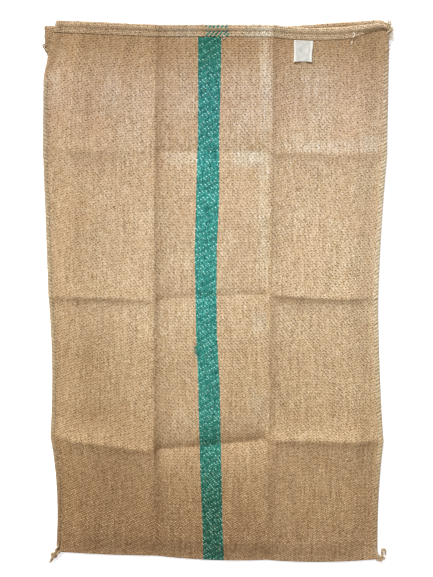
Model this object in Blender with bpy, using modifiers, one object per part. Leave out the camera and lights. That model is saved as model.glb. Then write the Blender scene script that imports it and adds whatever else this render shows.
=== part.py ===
"""An empty jute sack lying on its back panel, mouth towards +Y.

One length of cloth is folded across at the bottom, its two mouth ends are turned outwards as hems,
and both sides are sewn edge to edge with an overcast twine that ends in a knot at each bottom corner.
The storage folds have left a net of creases: two run the length of the sack and three run across it.
"""

import math

import bpy
import bmesh
import numpy as np
from mathutils import Vector

# ---- Driving sizes, in metres

CLOTH_THICKNESS = 0.0018
PIECE_GAP = 0.0005  # air between two pieces that touch on the real sack

HEM_TURN = 0.022  # how far the mouth edge is turned back over the outside
HEM_STEP = 0.0030  # between the middles of the hem and of the panel under it

FRONT_LIFT = 0.0155  # middle of the front cloth over the floor, inside the seams
FRONT_EDGE_LIFT = 0.0053  # the same where the side seam pinches both panels
BACK_EDGE_LIFT = 0.0018  # the seam's lower legs hold the back panel's edge up by this
SEAM_BAND = 0.008  # flat band along each side under the stitches
PINCH_REACH = 0.055  # the front rises from seam height to full lift over this
FOLD_REACH = 0.050  # the same at the bottom fold
FOLD_LIFT = 0.0068  # middle of the front cloth where the bottom fold starts

# ---- The crease net, seen from above: x and y of the left edge, left crease, right crease, right edge

FRONT_MOUTH = ((-0.3350, 0.557), (-0.1165, 0.547), (0.1090, 0.5465), (0.3360, 0.556))
BACK_MOUTH = ((-0.3345, 0.548), (-0.1165, 0.544), (0.1090, 0.544), (0.3365, 0.560))
CROSS_LINES = (
    ((-0.3435, 0.309), (-0.1220, 0.306), (0.1090, 0.304), (0.3380, 0.297)),
    ((-0.3400, 0.009), (-0.1270, 0.004), (0.1090, 0.018), (0.3275, 0.007)),
    ((-0.3435, -0.288), (-0.1300, -0.310), (0.1080, -0.284), (0.3460, -0.293)),
    ((-0.3390, -0.536), (-0.1270, -0.543), (0.1060, -0.552), (0.3410, -0.550)),
)

# How far the middle of each stretch bows off the straight line between two points of the net.
# Side edges: a value for each band, from the mouth down. Cross lines: left, middle, right column.
LEFT_EDGE_BOWS = (0.000, 0.000, 0.005, 0.008)
RIGHT_EDGE_BOWS = (0.000, -0.002, -0.002, -0.004)
FRONT_MOUTH_BOWS = (0.000, 0.001, -0.010)
BACK_MOUTH_BOWS = (0.000, 0.000, 0.001)
CROSS_BOWS = (
    (0.000, 0.000, 0.001),
    (0.002, 0.001, -0.005),
    (0.000, -0.004, 0.001),
    (-0.003, -0.006, -0.006),
)

# The front's left corner has slipped inwards over the unsewn top of the side.
CORNER_SLIP = 0.0245
CORNER_SLIP_SHARE = 0.41  # of the top band's height

# ---- Crease heights, in metres: ridges up, troughs down

LENGTHWISE_RIDGES = (  # at the mouth, the three cross creases and the bottom
    (0.005, 0.009, 0.010, 0.009, 0.002),  # left crease
    (0.007, 0.008, 0.008, 0.008, 0.002),  # right crease
)
LENGTHWISE_REACHES = ((0.016, 0.015), (0.018, 0.010))  # left and right of each crease
CROSS_CREASES = (  # height in the left, middle and right column, reach towards the mouth, reach below
    (0.008, -0.0045, 0.009, 0.022, 0.020),
    (0.010, -0.0045, 0.010, 0.026, 0.011),
    (0.009, -0.0045, 0.008, 0.024, 0.012),
)
TROUGH_REACH = 0.014
COLUMN_CHANGE = 0.015  # a cross crease turns from ridge to trough over this width
SIDE_SHARE = 0.40  # of a cross crease's height left at the sewn edge
SIDE_LIFT_REACH = 0.030  # both panels come down from that over this
BACK_RIDGE = 0.0020
BACK_REACH = 0.014
BACK_EDGE_REACH = 0.020  # the back comes down from its seams, and from its hem, over this
HEM_CLEARANCE = 0.003  # past the hem's raw edge, where the back starts to come down
MOUTH_FLAT = 0.080  # the back's ridges fade over this towards the mouth
MOUTH_LIFT = 0.0024  # the back's hem raises the whole mouth by this
MOUTH_GAPE = 0.007  # the front stands up this much more at the right of the mouth
GAPE_MIDDLE = 0.185
GAPE_WIDTH = 0.090
GAPE_DEPTH = 0.090
TAIL_TRIM = 0.0002  # lifts lower than this are left out, so that the back lies flat

# ---- Seams, knots, label and frayed corner

SEAM_THICKNESS = 0.0012
SEAM_LEG = 0.0062
SEAM_TOPS = (0.452, 0.507)  # y where the left and the right seam start, under the mouth
SEAM_END_ABOVE_FOLD = 0.010
SEAM_ROUNDING = 0.6  # share of the seam's thickness taken off its outer corners
TWINE = 0.0034
KNOT_OUT, KNOT_DOWN, KNOT_HEIGHT = 0.0085, 0.0065, 0.0050  # its middle from the bottom corner
KNOT_LOOPS = (  # outwards, towards the mouth and up from the knot's middle
    (-0.0040, 0.0030, 0.0010),
    (0.0030, -0.0035, 0.0022),
    (0.0042, 0.0022, -0.0004),
    (-0.0030, 0.0024, -0.0022),
    (-0.0024, -0.0036, 0.0000),
    (0.0034, -0.0010, 0.0016),
)
LEFT_TAILS = (  # each tail's points: x, y and z from the knot's middle on the floor
    ((0.001, -0.002, 0.001), (-0.005, -0.009, 0.0), (-0.010, -0.016, 0.0)),
)
RIGHT_TAILS = (
    ((0.001, 0.001, 0.002), (0.006, 0.010, 0.001), (0.007, 0.021, 0.0)),
    ((0.001, 0.000, 0.001), (0.007, 0.002, 0.0), (0.013, 0.004, 0.0)),
)
LABEL_LEFT, LABEL_RIGHT = 0.1535, 0.1890
LABEL_HEIGHT = 0.036
LABEL_SKEW = 0.0012  # the label's foot hangs this much to the left of its top
LABEL_THICKNESS = 0.0010
FRAY_STRANDS = 11
FRAY_FROM, FRAY_TO = 0.513, 0.551
FRAY_THICKNESS = 0.0016
FRAY_LEAN = (0.5, 1.4)  # angle of the lowest and the highest yarn end, in radians from +X
FRAY_LENGTH = (0.0055, 0.0110)
FRAY_DROOP = 0.0009
FRAY_TAPER = 0.82  # thickness of each step against the one before
FRAY_STEPS = 3

# ---- How finely the cloth is divided: shares of a band or column, closer near its creases

FRONT_SHARES = (0, 0.03, 0.08, 0.15, 0.30, 0.50, 0.70, 0.85, 0.92, 0.97)
BACK_SHARES = (0, 0.08, 0.15, 0.30, 0.50, 0.70, 0.85, 0.92)
EDGE_COLUMN_SHARES = (0, 0.036, 0.11, 0.22, 0.40, 0.60, 0.78, 0.89, 0.95)
MIDDLE_COLUMN_SHARES = (0, 0.045, 0.10, 0.20, 0.35, 0.50, 0.65, 0.80, 0.90, 0.955)
TURN_STEPS = 4
FOLD_STEPS = 6
LABEL_POINTS = (6, 7)  # down and across
KNOT_VOXEL = 0.00085
KNOT_FACES_KEPT = 0.2


def clamped(value):
    return np.clip(value, 0.0, 1.0)


def eased(value):
    """0 to 1 with level ends."""
    share = clamped(value)
    return share * share * (3 - 2 * share)


def net_of(mouth):
    return np.array((mouth,) + CROSS_LINES)


def plan(row, column, front):
    """x and y of a point of one panel: row 0 to 4 from the mouth down, column 0 to 3 from the left."""
    net = net_of(FRONT_MOUTH if front else BACK_MOUTH)
    row_bows = np.array(((FRONT_MOUTH_BOWS if front else BACK_MOUTH_BOWS),) + CROSS_BOWS)
    edge_bows = np.array((LEFT_EDGE_BOWS, (0,) * 4, (0,) * 4, RIGHT_EDGE_BOWS))
    band = np.minimum(row.astype(int), 3)
    cell = np.minimum(column.astype(int), 2)
    down = row - band
    across = column - cell
    arch_down = 4 * down * (1 - down)
    arch_across = 4 * across * (1 - across)
    left = net[band, cell] * (1 - down)[..., None] + net[band + 1, cell] * down[..., None]
    right = net[band, cell + 1] * (1 - down)[..., None] + net[band + 1, cell + 1] * down[..., None]
    spot = left * (1 - across)[..., None] + right * across[..., None]
    x, y = spot[..., 0], spot[..., 1]
    x = x + arch_down * (edge_bows[cell, band] * (1 - across) + edge_bows[cell + 1, band] * across)
    y = y + arch_across * (row_bows[band, cell] * (1 - down) + row_bows[band + 1, cell] * down)
    if front:
        slip = CORNER_SLIP * clamped(1 - row / CORNER_SLIP_SHARE)
        x = x + slip * clamped(1 - column) ** 1.5
    return x, y


def along(row, heights):
    return np.interp(row, range(len(heights)), heights)


def crest(distance, reach_minus, reach_plus):
    """1 at the crease, falling away over one reach on its minus side and another on its plus side."""
    return np.exp(-np.abs(distance) / np.where(distance < 0, reach_minus, reach_plus))


class Panel:
    """Distances on one panel from a point to its edges and creases."""

    def __init__(self, row, column, front):
        self.row, self.column, self.front = row, column, front
        self.x, self.y = plan(row, column, front)
        lines = [plan(row, np.full_like(column, n), front) for n in range(4)]
        self.from_side = np.minimum(self.x - lines[0][0], lines[3][0] - self.x)
        self.from_left_crease = self.x - lines[1][0]
        self.from_right_crease = self.x - lines[2][0]
        self.from_mouth = plan(np.zeros_like(row), column, front)[1] - self.y
        self.from_fold = self.y - plan(np.full_like(row, 4), column, front)[1]
        self.from_cross = [
            self.y - plan(np.full_like(row, n), column, front)[1] for n in (1, 2, 3)
        ]

    def column_value(self, left, middle, right):
        """One value in each column, changing over a short width at the lengthwise creases."""
        past_left = eased(0.5 + self.from_left_crease / (2 * COLUMN_CHANGE))
        past_right = eased(0.5 + self.from_right_crease / (2 * COLUMN_CHANGE))
        return left + (middle - left) * past_left + (right - middle) * past_right

    def cross_relief(self):
        """Ridges and troughs of the three creases that run across the sack."""
        total = np.zeros_like(self.x)
        for distance, (left, middle, right, above, below) in zip(self.from_cross, CROSS_CREASES):
            height = self.column_value(left, middle, right)
            trough = np.minimum(height, 0) * crest(distance, TROUGH_REACH, TROUGH_REACH)
            total = total + np.maximum(height, 0) * crest(distance, below, above) + trough
        fade = SIDE_SHARE + (1 - SIDE_SHARE) * eased((self.from_side - SEAM_BAND) / PINCH_REACH)
        return total * fade

    def lengthwise_relief(self):
        """Ridges of the two creases that run from mouth to bottom."""
        distances = (self.from_left_crease, self.from_right_crease)
        return sum(
            along(self.row, heights) * crest(distance, *reaches)
            for distance, heights, reaches in zip(distances, LENGTHWISE_RIDGES, LENGTHWISE_REACHES)
        )

    def side_lift(self):
        """How far the cross creases raise the sewn edges, both panels together."""
        total = np.zeros_like(self.x)
        for distance, (left, _, right, above, below) in zip(self.from_cross, CROSS_CREASES):
            height = np.where(self.column < 1.5, left, right) * SIDE_SHARE
            total = total + height * crest(distance, below, above)
        return total * (1 - eased((self.from_side - SEAM_BAND) / SIDE_LIFT_REACH))


def front_height(row, column):
    """Middle of the front cloth over the floor."""
    panel = Panel(row, column, True)
    pinch = eased((panel.from_side - SEAM_BAND) / PINCH_REACH)
    height = FRONT_EDGE_LIFT + (FRONT_LIFT - FRONT_EDGE_LIFT) * pinch
    cross = panel.cross_relief()
    ridge = np.hypot(panel.lengthwise_relief(), np.maximum(cross, 0))
    height = height + ridge + np.minimum(cross, 0)
    gape = MOUTH_GAPE * np.exp(-(((panel.x - GAPE_MIDDLE) / GAPE_WIDTH) ** 2))
    height = height + (gape + MOUTH_LIFT) * np.exp(-panel.from_mouth / GAPE_DEPTH)
    start = FRONT_EDGE_LIFT + (FOLD_LIFT - FRONT_EDGE_LIFT) * pinch
    return start + (height - start) * eased(panel.from_fold / FOLD_REACH)


def back_height(row, column):
    """Middle of the back cloth over the floor."""
    panel = Panel(row, column, False)
    past_hem = panel.from_mouth - HEM_TURN - HEM_CLEARANCE
    hem_room = HEM_STEP * (1 - eased(past_hem / BACK_EDGE_REACH))
    edge = BACK_EDGE_LIFT * (1 - eased((panel.from_side - SEAM_BAND) / BACK_EDGE_REACH))
    creases = [panel.from_left_crease, panel.from_right_crease] + panel.from_cross
    ridges = [np.exp(-np.abs(distance) / BACK_REACH) for distance in creases]
    ridge = BACK_RIDGE * clamped(1.1 * np.maximum.reduce(ridges) - 0.1)
    ridge = ridge * eased(panel.from_fold / FOLD_REACH) * eased(panel.from_mouth / MOUTH_FLAT)
    low = np.maximum(np.maximum(hem_room, edge), ridge)
    return CLOTH_THICKNESS / 2 + low + np.maximum(panel.side_lift() - TAIL_TRIM, 0)


def column_shares():
    left = np.array(EDGE_COLUMN_SHARES)
    middle = 1 + np.array(MIDDLE_COLUMN_SHARES)
    right = 3 - left[::-1]
    return np.concatenate([left, middle, [2.0], right])


def band_rows(shares):
    return np.concatenate([band + np.array(shares) for band in range(4)] + [[4.0]])


def row_points(row, columns, front):
    height = front_height if front else back_height
    rows = np.full_like(columns, row)
    x, y = plan(rows, columns, front)
    return np.stack([x, y, height(rows, columns)], axis=-1)


def turned_hem(columns, front, height_of):
    """Rows of the hem and its turn, from the raw edge to the row where the panel starts."""
    outward = 1 if front else -1
    turn_radius = HEM_STEP / 2
    top = row_points(0.0, columns, front)
    rows = []
    for down in (HEM_TURN, HEM_TURN * 0.5):
        share = down / (top[:, 1] - row_points(1.0, columns, front)[:, 1])
        x, y = plan(share, columns, front)
        rows.append(np.stack([x, y, height_of(share, columns) + outward * HEM_STEP], axis=-1))
    for step in range(TURN_STEPS + 1):
        angle = math.pi * step / TURN_STEPS
        turn = top.copy()
        turn[:, 1] += turn_radius * (math.sin(angle) - 1)
        turn[:, 2] += outward * turn_radius * (1 + math.cos(angle))
        rows.append(turn)
    return rows


def cloth_rows():
    """The cloth's middle surface as rows of points, from the front's raw edge round to the back's."""
    columns = column_shares()
    front_rows = band_rows(FRONT_SHARES)[1:-1]
    back_rows = band_rows(BACK_SHARES)[1:-1]
    rows = turned_hem(columns, True, front_height)
    rows += [row_points(row, columns, True) for row in front_rows]
    front_end = row_points(4.0, columns, True)
    back_end = row_points(4.0, columns, False)
    fold_radius = (front_end[:, 2] - back_end[:, 2]) / 2
    for step in range(FOLD_STEPS + 1):
        angle = math.pi * step / FOLD_STEPS
        turn = front_end.copy()
        turn[:, 1] += fold_radius * (1 - math.sin(angle))
        turn[:, 2] = back_end[:, 2] + fold_radius * (1 + math.cos(angle))
        rows.append(turn)
    rows += [row_points(row, columns, False) for row in back_rows[::-1]]
    rows += turned_hem(columns, False, back_height)[::-1]
    return np.array(rows)


def material_of(name, colour, roughness):
    material = bpy.data.materials.new(name)
    material.use_nodes = True
    shader = material.node_tree.nodes["Principled BSDF"]
    shader.inputs["Base Color"].default_value = (*colour, 1.0)
    shader.inputs["Roughness"].default_value = roughness
    shader.inputs["Metallic"].default_value = 0.0
    return material


def mesh_object(name, points, faces, collection, material):
    mesh = bpy.data.meshes.new(name)
    mesh.from_pydata([tuple(point) for point in points], [], faces)
    mesh.update()
    part = bpy.data.objects.new(name, mesh)
    part.data.materials.append(material)
    collection.objects.link(part)
    return part


def grid_faces(rows, columns):
    return [
        (r * columns + c, r * columns + c + 1, (r + 1) * columns + c + 1, (r + 1) * columns + c)
        for r in range(rows - 1)
        for c in range(columns - 1)
    ]


def sheet_object(name, grid, thickness, collection, material):
    """An open grid of points given an even thickness about its middle."""
    rows, columns = grid.shape[:2]
    part = mesh_object(
        name, grid.reshape(-1, 3), grid_faces(rows, columns), collection, material
    )
    wall = part.modifiers.new("thickness", "SOLIDIFY")
    wall.thickness = thickness
    wall.offset = 0.0
    wall.use_even_offset = True
    return part


def loft_object(name, sections, collection, material):
    """Closed rings of points joined in order and capped at both ends."""
    count, ring = sections.shape[:2]
    faces = [
        (s * ring + p, s * ring + (p + 1) % ring, (s + 1) * ring + (p + 1) % ring, (s + 1) * ring + p)
        for s in range(count - 1)
        for p in range(ring)
    ]
    faces.append(tuple(range(ring))[::-1])
    faces.append(tuple((count - 1) * ring + p for p in range(ring)))
    part = mesh_object(name, sections.reshape(-1, 3), faces, collection, material)
    shell = bmesh.new()
    shell.from_mesh(part.data)
    bmesh.ops.recalc_face_normals(shell, faces=shell.faces)
    shell.to_mesh(part.data)
    shell.free()
    return part


def row_at(y, column):
    """The row of the front panel that lies at y in this column."""
    low, high = 0.0, 4.0
    for _ in range(40):
        middle = (low + high) / 2
        if plan(np.array([middle]), np.array([column]), True)[1][0] > y:
            low = middle
        else:
            high = middle
    return low


def seam_sections(side):
    """The overcast band round both edges: an upper leg, an outer side and a lower leg, row by row."""
    column = 0.0 if side < 0 else 3.0
    top = row_at(SEAM_TOPS[0 if side < 0 else 1], column)
    fold_y = plan(np.array([4.0]), np.array([column]), True)[1][0]
    bottom = row_at(fold_y + SEAM_END_ABOVE_FOLD, column)
    shares = band_rows(FRONT_SHARES)
    inside = shares[(shares > top + 0.02) & (shares < bottom - 0.02)]
    rows = np.concatenate([[top], inside, [bottom]])
    columns = np.full_like(rows, column)
    x, y = plan(rows, columns, True)
    half = CLOTH_THICKNESS / 2 + PIECE_GAP
    upper = front_height(rows, columns) + half
    back_rows = band_rows(BACK_SHARES)[::-1]
    back_columns = np.full_like(back_rows, column)
    back_x, back_y = plan(back_rows, back_columns, False)
    lower = np.interp(y, back_y, back_height(back_rows, back_columns)) - half
    x = side * np.maximum(side * x, side * np.interp(y, back_y, back_x))
    inner = x - side * SEAM_LEG
    wall = x + side * PIECE_GAP
    outer = wall + side * SEAM_THICKNESS
    drop = SEAM_THICKNESS * SEAM_ROUNDING
    round_off = side * drop
    profile = (
        (inner, upper),
        (inner, upper + SEAM_THICKNESS),
        (outer - round_off, upper + SEAM_THICKNESS),
        (outer, upper + SEAM_THICKNESS - drop),
        (outer, lower - SEAM_THICKNESS + drop),
        (outer - round_off, lower - SEAM_THICKNESS),
        (inner, lower - SEAM_THICKNESS),
        (inner, lower),
        (wall, lower),
        (wall, upper),
    )
    return np.stack([np.stack([px, y, pz], axis=-1) for px, pz in profile], axis=1)


def knot_middle(side):
    x, y = corner_of(side)
    return Vector((x + side * KNOT_OUT, y - KNOT_DOWN, 0.0))


def knotted_twine(side):
    """Twine from the seam's end beside the cloth, then round on itself in an overhand knot."""
    x, y = corner_of(side)
    beside = x + side * (PIECE_GAP + TWINE / 2)
    start = Vector((beside, y + SEAM_END_ABOVE_FOLD - PIECE_GAP, 0.0040))
    middle = knot_middle(side) + Vector((0, 0, KNOT_HEIGHT))
    lead = start + Vector((side * 0.0012, -0.0050, 0.0010))
    return [start, lead] + [middle + Vector((side * x, y, z)) for x, y, z in KNOT_LOOPS]


def smooth_route(points, steps):
    """Points along a Catmull-Rom curve through the given ones."""
    ends = [points[0]] + list(points) + [points[-1]]
    route = []
    for before, start, end, after in zip(ends, ends[1:], ends[2:], ends[3:]):
        for step in range(steps):
            t = step / steps
            route.append(
                0.5
                * (
                    2 * start
                    + (end - before) * t
                    + (2 * before - 5 * start + 4 * end - after) * t**2
                    + (3 * start - before - 3 * end + after) * t**3
                )
            )
    return route + [points[-1]]


def knot_object(name, strands, collection, material):
    """Tubes of twine fused into one lump where they cross."""
    curve = bpy.data.curves.new(name, "CURVE")
    curve.dimensions = "3D"
    curve.bevel_depth = TWINE / 2
    curve.bevel_resolution = 2
    curve.use_fill_caps = True
    for points in strands:
        route = smooth_route(points, 3)
        spline = curve.splines.new("POLY")
        spline.points.add(len(route) - 1)
        for slot, point in zip(spline.points, route):
            slot.co = (*point, 1.0)
    guide = bpy.data.objects.new(name + "_guide", curve)
    collection.objects.link(guide)
    bpy.context.view_layer.update()
    graph = bpy.context.evaluated_depsgraph_get()
    mesh = bpy.data.meshes.new_from_object(guide.evaluated_get(graph))
    bpy.data.objects.remove(guide)
    mesh.materials.clear()
    mesh.materials.append(material)
    knot = bpy.data.objects.new(name, mesh)
    collection.objects.link(knot)
    fuse = knot.modifiers.new("fuse", "REMESH")
    fuse.mode = "VOXEL"
    fuse.voxel_size = KNOT_VOXEL
    thin = knot.modifiers.new("thin", "DECIMATE")
    thin.ratio = KNOT_FACES_KEPT
    return knot


def corner_of(side):
    column = 0.0 if side < 0 else 3.0
    x, y = plan(np.array([4.0]), np.array([column]), True)
    return x[0], y[0]


def build_knot(name, side, tails, collection, material):
    on_floor = knot_middle(side) + Vector((0, 0, TWINE / 2 + PIECE_GAP))
    strands = [knotted_twine(side)]
    strands += [[on_floor + Vector(step) for step in tail] for tail in tails]
    return knot_object(name, strands, collection, material)


def label_grid():
    """The label's middle surface, lying on the front just under the hem."""
    down, across = (np.linspace(0, 1, points) for points in LABEL_POINTS)
    grid = []
    for share in down:
        x = LABEL_LEFT + (LABEL_RIGHT - LABEL_LEFT) * across - LABEL_SKEW * share
        column = 2 + (x - FRONT_MOUTH[2][0]) / (FRONT_MOUTH[3][0] - FRONT_MOUTH[2][0])
        start = plan(np.zeros_like(column), column, True)[1] - HEM_TURN - PIECE_GAP
        y = start - LABEL_HEIGHT * share
        row = np.array([row_at(v, c) for v, c in zip(y, column)])
        rest = CLOTH_THICKNESS / 2 + PIECE_GAP + LABEL_THICKNESS / 2
        grid.append(np.stack([x, y, front_height(row, column) + rest], axis=-1))
    return np.array(grid)


def draw_yarn(strip, root, number):
    """Draws one face of the strip out into a tapering yarn end, each with its own lean and length."""
    lean = FRAY_LEAN[0] + (FRAY_LEAN[1] - FRAY_LEAN[0]) * number / (FRAY_STRANDS - 1)
    length = FRAY_LENGTH[0] + (FRAY_LENGTH[1] - FRAY_LENGTH[0]) * (0.5 + 0.5 * math.sin(number * 2.4))
    droop = FRAY_DROOP * (1.3 * math.sin(number * 1.7) - 1)
    face = root
    for step in range(1, FRAY_STEPS + 1):
        face = bmesh.ops.extrude_discrete_faces(strip, faces=[face])["faces"][0]
        centre = face.calc_center_median()
        bend = lean * (0.5 + (step - 1) / FRAY_STEPS)
        move = Vector((math.cos(bend), math.sin(bend), 0.0)) * (length / FRAY_STEPS)
        move.z = droop * step / FRAY_STEPS
        for vert in face.verts:
            vert.co = centre + (vert.co - centre) * FRAY_TAPER + move


def frayed_corner(collection, material):
    """A narrow strip beside the raw edge at the right of the mouth, with yarn ends drawn out of it."""
    teeth = 2 * FRAY_STRANDS + 1
    ys = np.linspace(FRAY_FROM, FRAY_TO, teeth + 1)
    rows = np.array([row_at(y, 3.0) for y in ys])
    columns = np.full_like(rows, 3.0)
    edge = plan(rows, columns, True)[0]
    middle = front_height(rows, columns)
    inner = edge + PIECE_GAP
    outer = inner + FRAY_THICKNESS
    strip = bmesh.new()
    half = FRAY_THICKNESS / 2
    rings = []
    for x0, x1, y, z in zip(inner, outer, ys, middle):
        corners = ((x0, y, z - half), (x1, y, z - half), (x1, y, z + half), (x0, y, z + half))
        rings.append([strip.verts.new(corner) for corner in corners])
    strip.faces.new(rings[0])
    strip.faces.new(rings[-1][::-1])
    roots = []
    for number, (first, second) in enumerate(zip(rings, rings[1:])):
        for side in range(4):
            other = (side + 1) % 4
            face = strip.faces.new((first[side], second[side], second[other], first[other]))
            if side == 1 and number % 2:
                roots.append(face)
    bmesh.ops.recalc_face_normals(strip, faces=strip.faces)
    for number, root in enumerate(roots):
        draw_yarn(strip, root, number)
    mesh = bpy.data.meshes.new("frayed_corner")
    strip.to_mesh(mesh)
    strip.free()
    mesh.materials.append(material)
    part = bpy.data.objects.new("frayed_corner", mesh)
    collection.objects.link(part)
    return part


def centre_on_origin(parts):
    """Puts the middle of the whole sack's box on the origin, with its lowest point at z = 0."""
    bpy.context.view_layer.update()
    graph = bpy.context.evaluated_depsgraph_get()
    corners = [
        part.evaluated_get(graph).matrix_world @ Vector(corner)
        for part in parts
        for corner in part.evaluated_get(graph).bound_box
    ]
    low = [min(corner[axis] for corner in corners) for axis in range(3)]
    high = [max(corner[axis] for corner in corners) for axis in range(3)]
    shift = Vector(((low[0] + high[0]) / 2, (low[1] + high[1]) / 2, low[2]))
    for part in parts:
        part.location = part.location - shift


def main():
    for old in list(bpy.data.objects):
        bpy.data.objects.remove(old)
    sack = bpy.data.collections.new("jute_sack")
    bpy.context.scene.collection.children.link(sack)
    jute = material_of("natural jute twill", (0.47, 0.32, 0.18), 0.9)
    twine = material_of("jute sewing twine", (0.50, 0.36, 0.22), 0.85)
    cotton = material_of("white cotton label", (0.78, 0.77, 0.72), 0.8)
    fray = material_of("loose jute yarn", (0.55, 0.42, 0.27), 0.9)

    cloth = sheet_object("sack_cloth", cloth_rows(), CLOTH_THICKNESS, sack, jute)
    seam_left = loft_object("side_seam_left", seam_sections(-1), sack, twine)
    seam_right = loft_object("side_seam_right", seam_sections(1), sack, twine)
    knot_left = build_knot("corner_knot_left", -1, LEFT_TAILS, sack, twine)
    knot_right = build_knot("corner_knot_right", 1, RIGHT_TAILS, sack, twine)
    label = sheet_object("label", label_grid(), LABEL_THICKNESS, sack, cotton)
    corner = frayed_corner(sack, fray)
    centre_on_origin([cloth, seam_left, seam_right, knot_left, knot_right, label, corner])


main()
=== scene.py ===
# %% [markdown]
# # An empty jute sack, lying on its back
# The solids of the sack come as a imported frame: cloth, two side seams, two corner knots, a label
# and a frayed corner. This lesson gives each of them its real surface, in metres and in place.

from functools import partial
import math

import bpy
import numpy as np
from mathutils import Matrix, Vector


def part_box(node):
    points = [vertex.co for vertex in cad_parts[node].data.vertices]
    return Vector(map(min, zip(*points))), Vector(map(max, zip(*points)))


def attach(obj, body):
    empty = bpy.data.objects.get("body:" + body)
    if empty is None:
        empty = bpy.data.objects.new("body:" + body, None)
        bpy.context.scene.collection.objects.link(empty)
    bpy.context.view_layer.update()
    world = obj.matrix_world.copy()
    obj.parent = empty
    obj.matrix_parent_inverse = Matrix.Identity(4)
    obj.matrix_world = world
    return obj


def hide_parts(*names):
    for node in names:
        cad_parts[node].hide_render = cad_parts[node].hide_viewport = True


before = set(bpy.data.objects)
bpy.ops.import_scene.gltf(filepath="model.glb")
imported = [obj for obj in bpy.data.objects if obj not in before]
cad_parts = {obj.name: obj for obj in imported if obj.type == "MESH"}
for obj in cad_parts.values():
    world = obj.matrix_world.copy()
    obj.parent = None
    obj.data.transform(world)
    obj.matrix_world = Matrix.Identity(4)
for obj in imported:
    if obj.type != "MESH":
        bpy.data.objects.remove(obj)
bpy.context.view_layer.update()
print("solids:", sorted(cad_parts))

# %% [markdown]
# ## The camera
# A flat sack is looked at from nearly overhead. The camera stands a little towards the mouth and
# tips back to see all of it, so the bottom is slightly farther away. The lens is worked out from
# the height of the view in pixels, and a small shift moves the sack within the view without
# turning the camera, which keeps straight edges straight.

# %% Camera
VIEW_WIDTH, VIEW_HEIGHT = 433, 577
CAMERA_DISTANCE = 2.0
CAMERA_TILT = math.radians(8.94)
FOCAL_LENGTH_PX = 979.8
MIDDLE_U, MIDDLE_V = 216.3, 303.15  # the net's middle, in pixels of the render
SENSOR_MM = 36.0
NET_SHIFT = np.array([-0.0020, 0.00025, 0.0])  # from the crease net's own numbers to the frame

camera = bpy.data.objects.new("camera", bpy.data.cameras.new("camera"))
bpy.context.scene.collection.objects.link(camera)
camera.data.sensor_width = SENSOR_MM
camera.data.lens = SENSOR_MM * FOCAL_LENGTH_PX / VIEW_HEIGHT
camera.data.shift_x = (VIEW_WIDTH / 2 - MIDDLE_U) / VIEW_HEIGHT
camera.data.shift_y = (MIDDLE_V - VIEW_HEIGHT / 2) / VIEW_HEIGHT
way_up = np.array([0.0, math.sin(CAMERA_TILT), math.cos(CAMERA_TILT)])
camera.location = NET_SHIFT + CAMERA_DISTANCE * way_up
camera.rotation_euler = (-CAMERA_TILT, 0.0, 0.0)
bpy.context.scene.camera = camera
print("lens:", round(camera.data.lens, 2), "mm")

# %% [markdown]
# ## The crease net
# The sack was stored folded in three along and in four across, so its creases form a net of
# twelve panels. Its points are given from the mouth down, each line with its left edge, left
# crease, right crease and right edge. Any point of a panel is then a pair of numbers, row (0 to
# 4) and column (0 to 3), and one function turns whole grids of pairs into places at once.

# %% Net of the front and back panel
# Millimetres. The cross lines and their bows are shared by the front and the back, and the line
# at the mouth is each panel's own. A bow is how far the middle of an edge lies off its chord.
CROSS_LINES = [
    [(-343.5, 309), (-122, 306), (109, 304), (338, 297)],
    [(-340, 15), (-127, 9), (109, 22), (327.5, 14)],
    [(-343.5, -277), (-130, -306), (108, -282), (346, -288)],
    [(-339, -532), (-127, -541), (106, -550.5), (341, -549)],
]
FRONT_MOUTH = [(-335, 557), (-116.5, 547), (109, 546.5), (336, 556)]
BACK_MOUTH = [(-334.5, 548), (-116.5, 544), (109, 544), (336.5, 560)]
NETS = [np.array([mouth] + CROSS_LINES) / 1000 for mouth in (BACK_MOUTH, FRONT_MOUTH)]
CROSS_BOWS = [(0, 0, 1), (2, 1, -5), (0, -4, 1), (-2, -5, -5.5)]
ROW_BOWS = [np.array([mouth] + CROSS_BOWS) / 1000 for mouth in ((0, 0, 1), (0, 1, -10))]
EDGE_BOWS = np.array([(0, 0, 5, 8), (0,) * 4, (0,) * 4, (0, -2, -2, -4)]) / 1000
CORNER_SLIP = 0.0245  # the front's left corner has slipped inwards over the unsewn top
CORNER_SLIP_SHARE = 0.41
NOTCH_DEPTH, NOTCH_Y, NOTCH_REACH = 0.0065, 0.487, 0.014  # the back's unsewn edge is drawn in
ROUNDING, ROUND_FROM, ROUND_ROWS = 0.0095, 2.90, 0.13  # the right corner has worn round


def clamped(value):
    """The value, held between 0 and 1."""
    return np.clip(value, 0.0, 1.0)


def eased(value):
    """Three times the square less twice the cube: from 0 to 1 with level ends."""
    share = clamped(value)
    return share * share * (3 - 2 * share)


def bell(away, width):
    """e to the minus the square of the distance over the width: 1 in the middle, 0 far off."""
    return np.exp(-((away / width) ** 2))


def down_sack(y, places, values):
    """Values given at places from the mouth down, and straight between them."""
    return np.interp(-y, -np.array(places), values)


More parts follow.
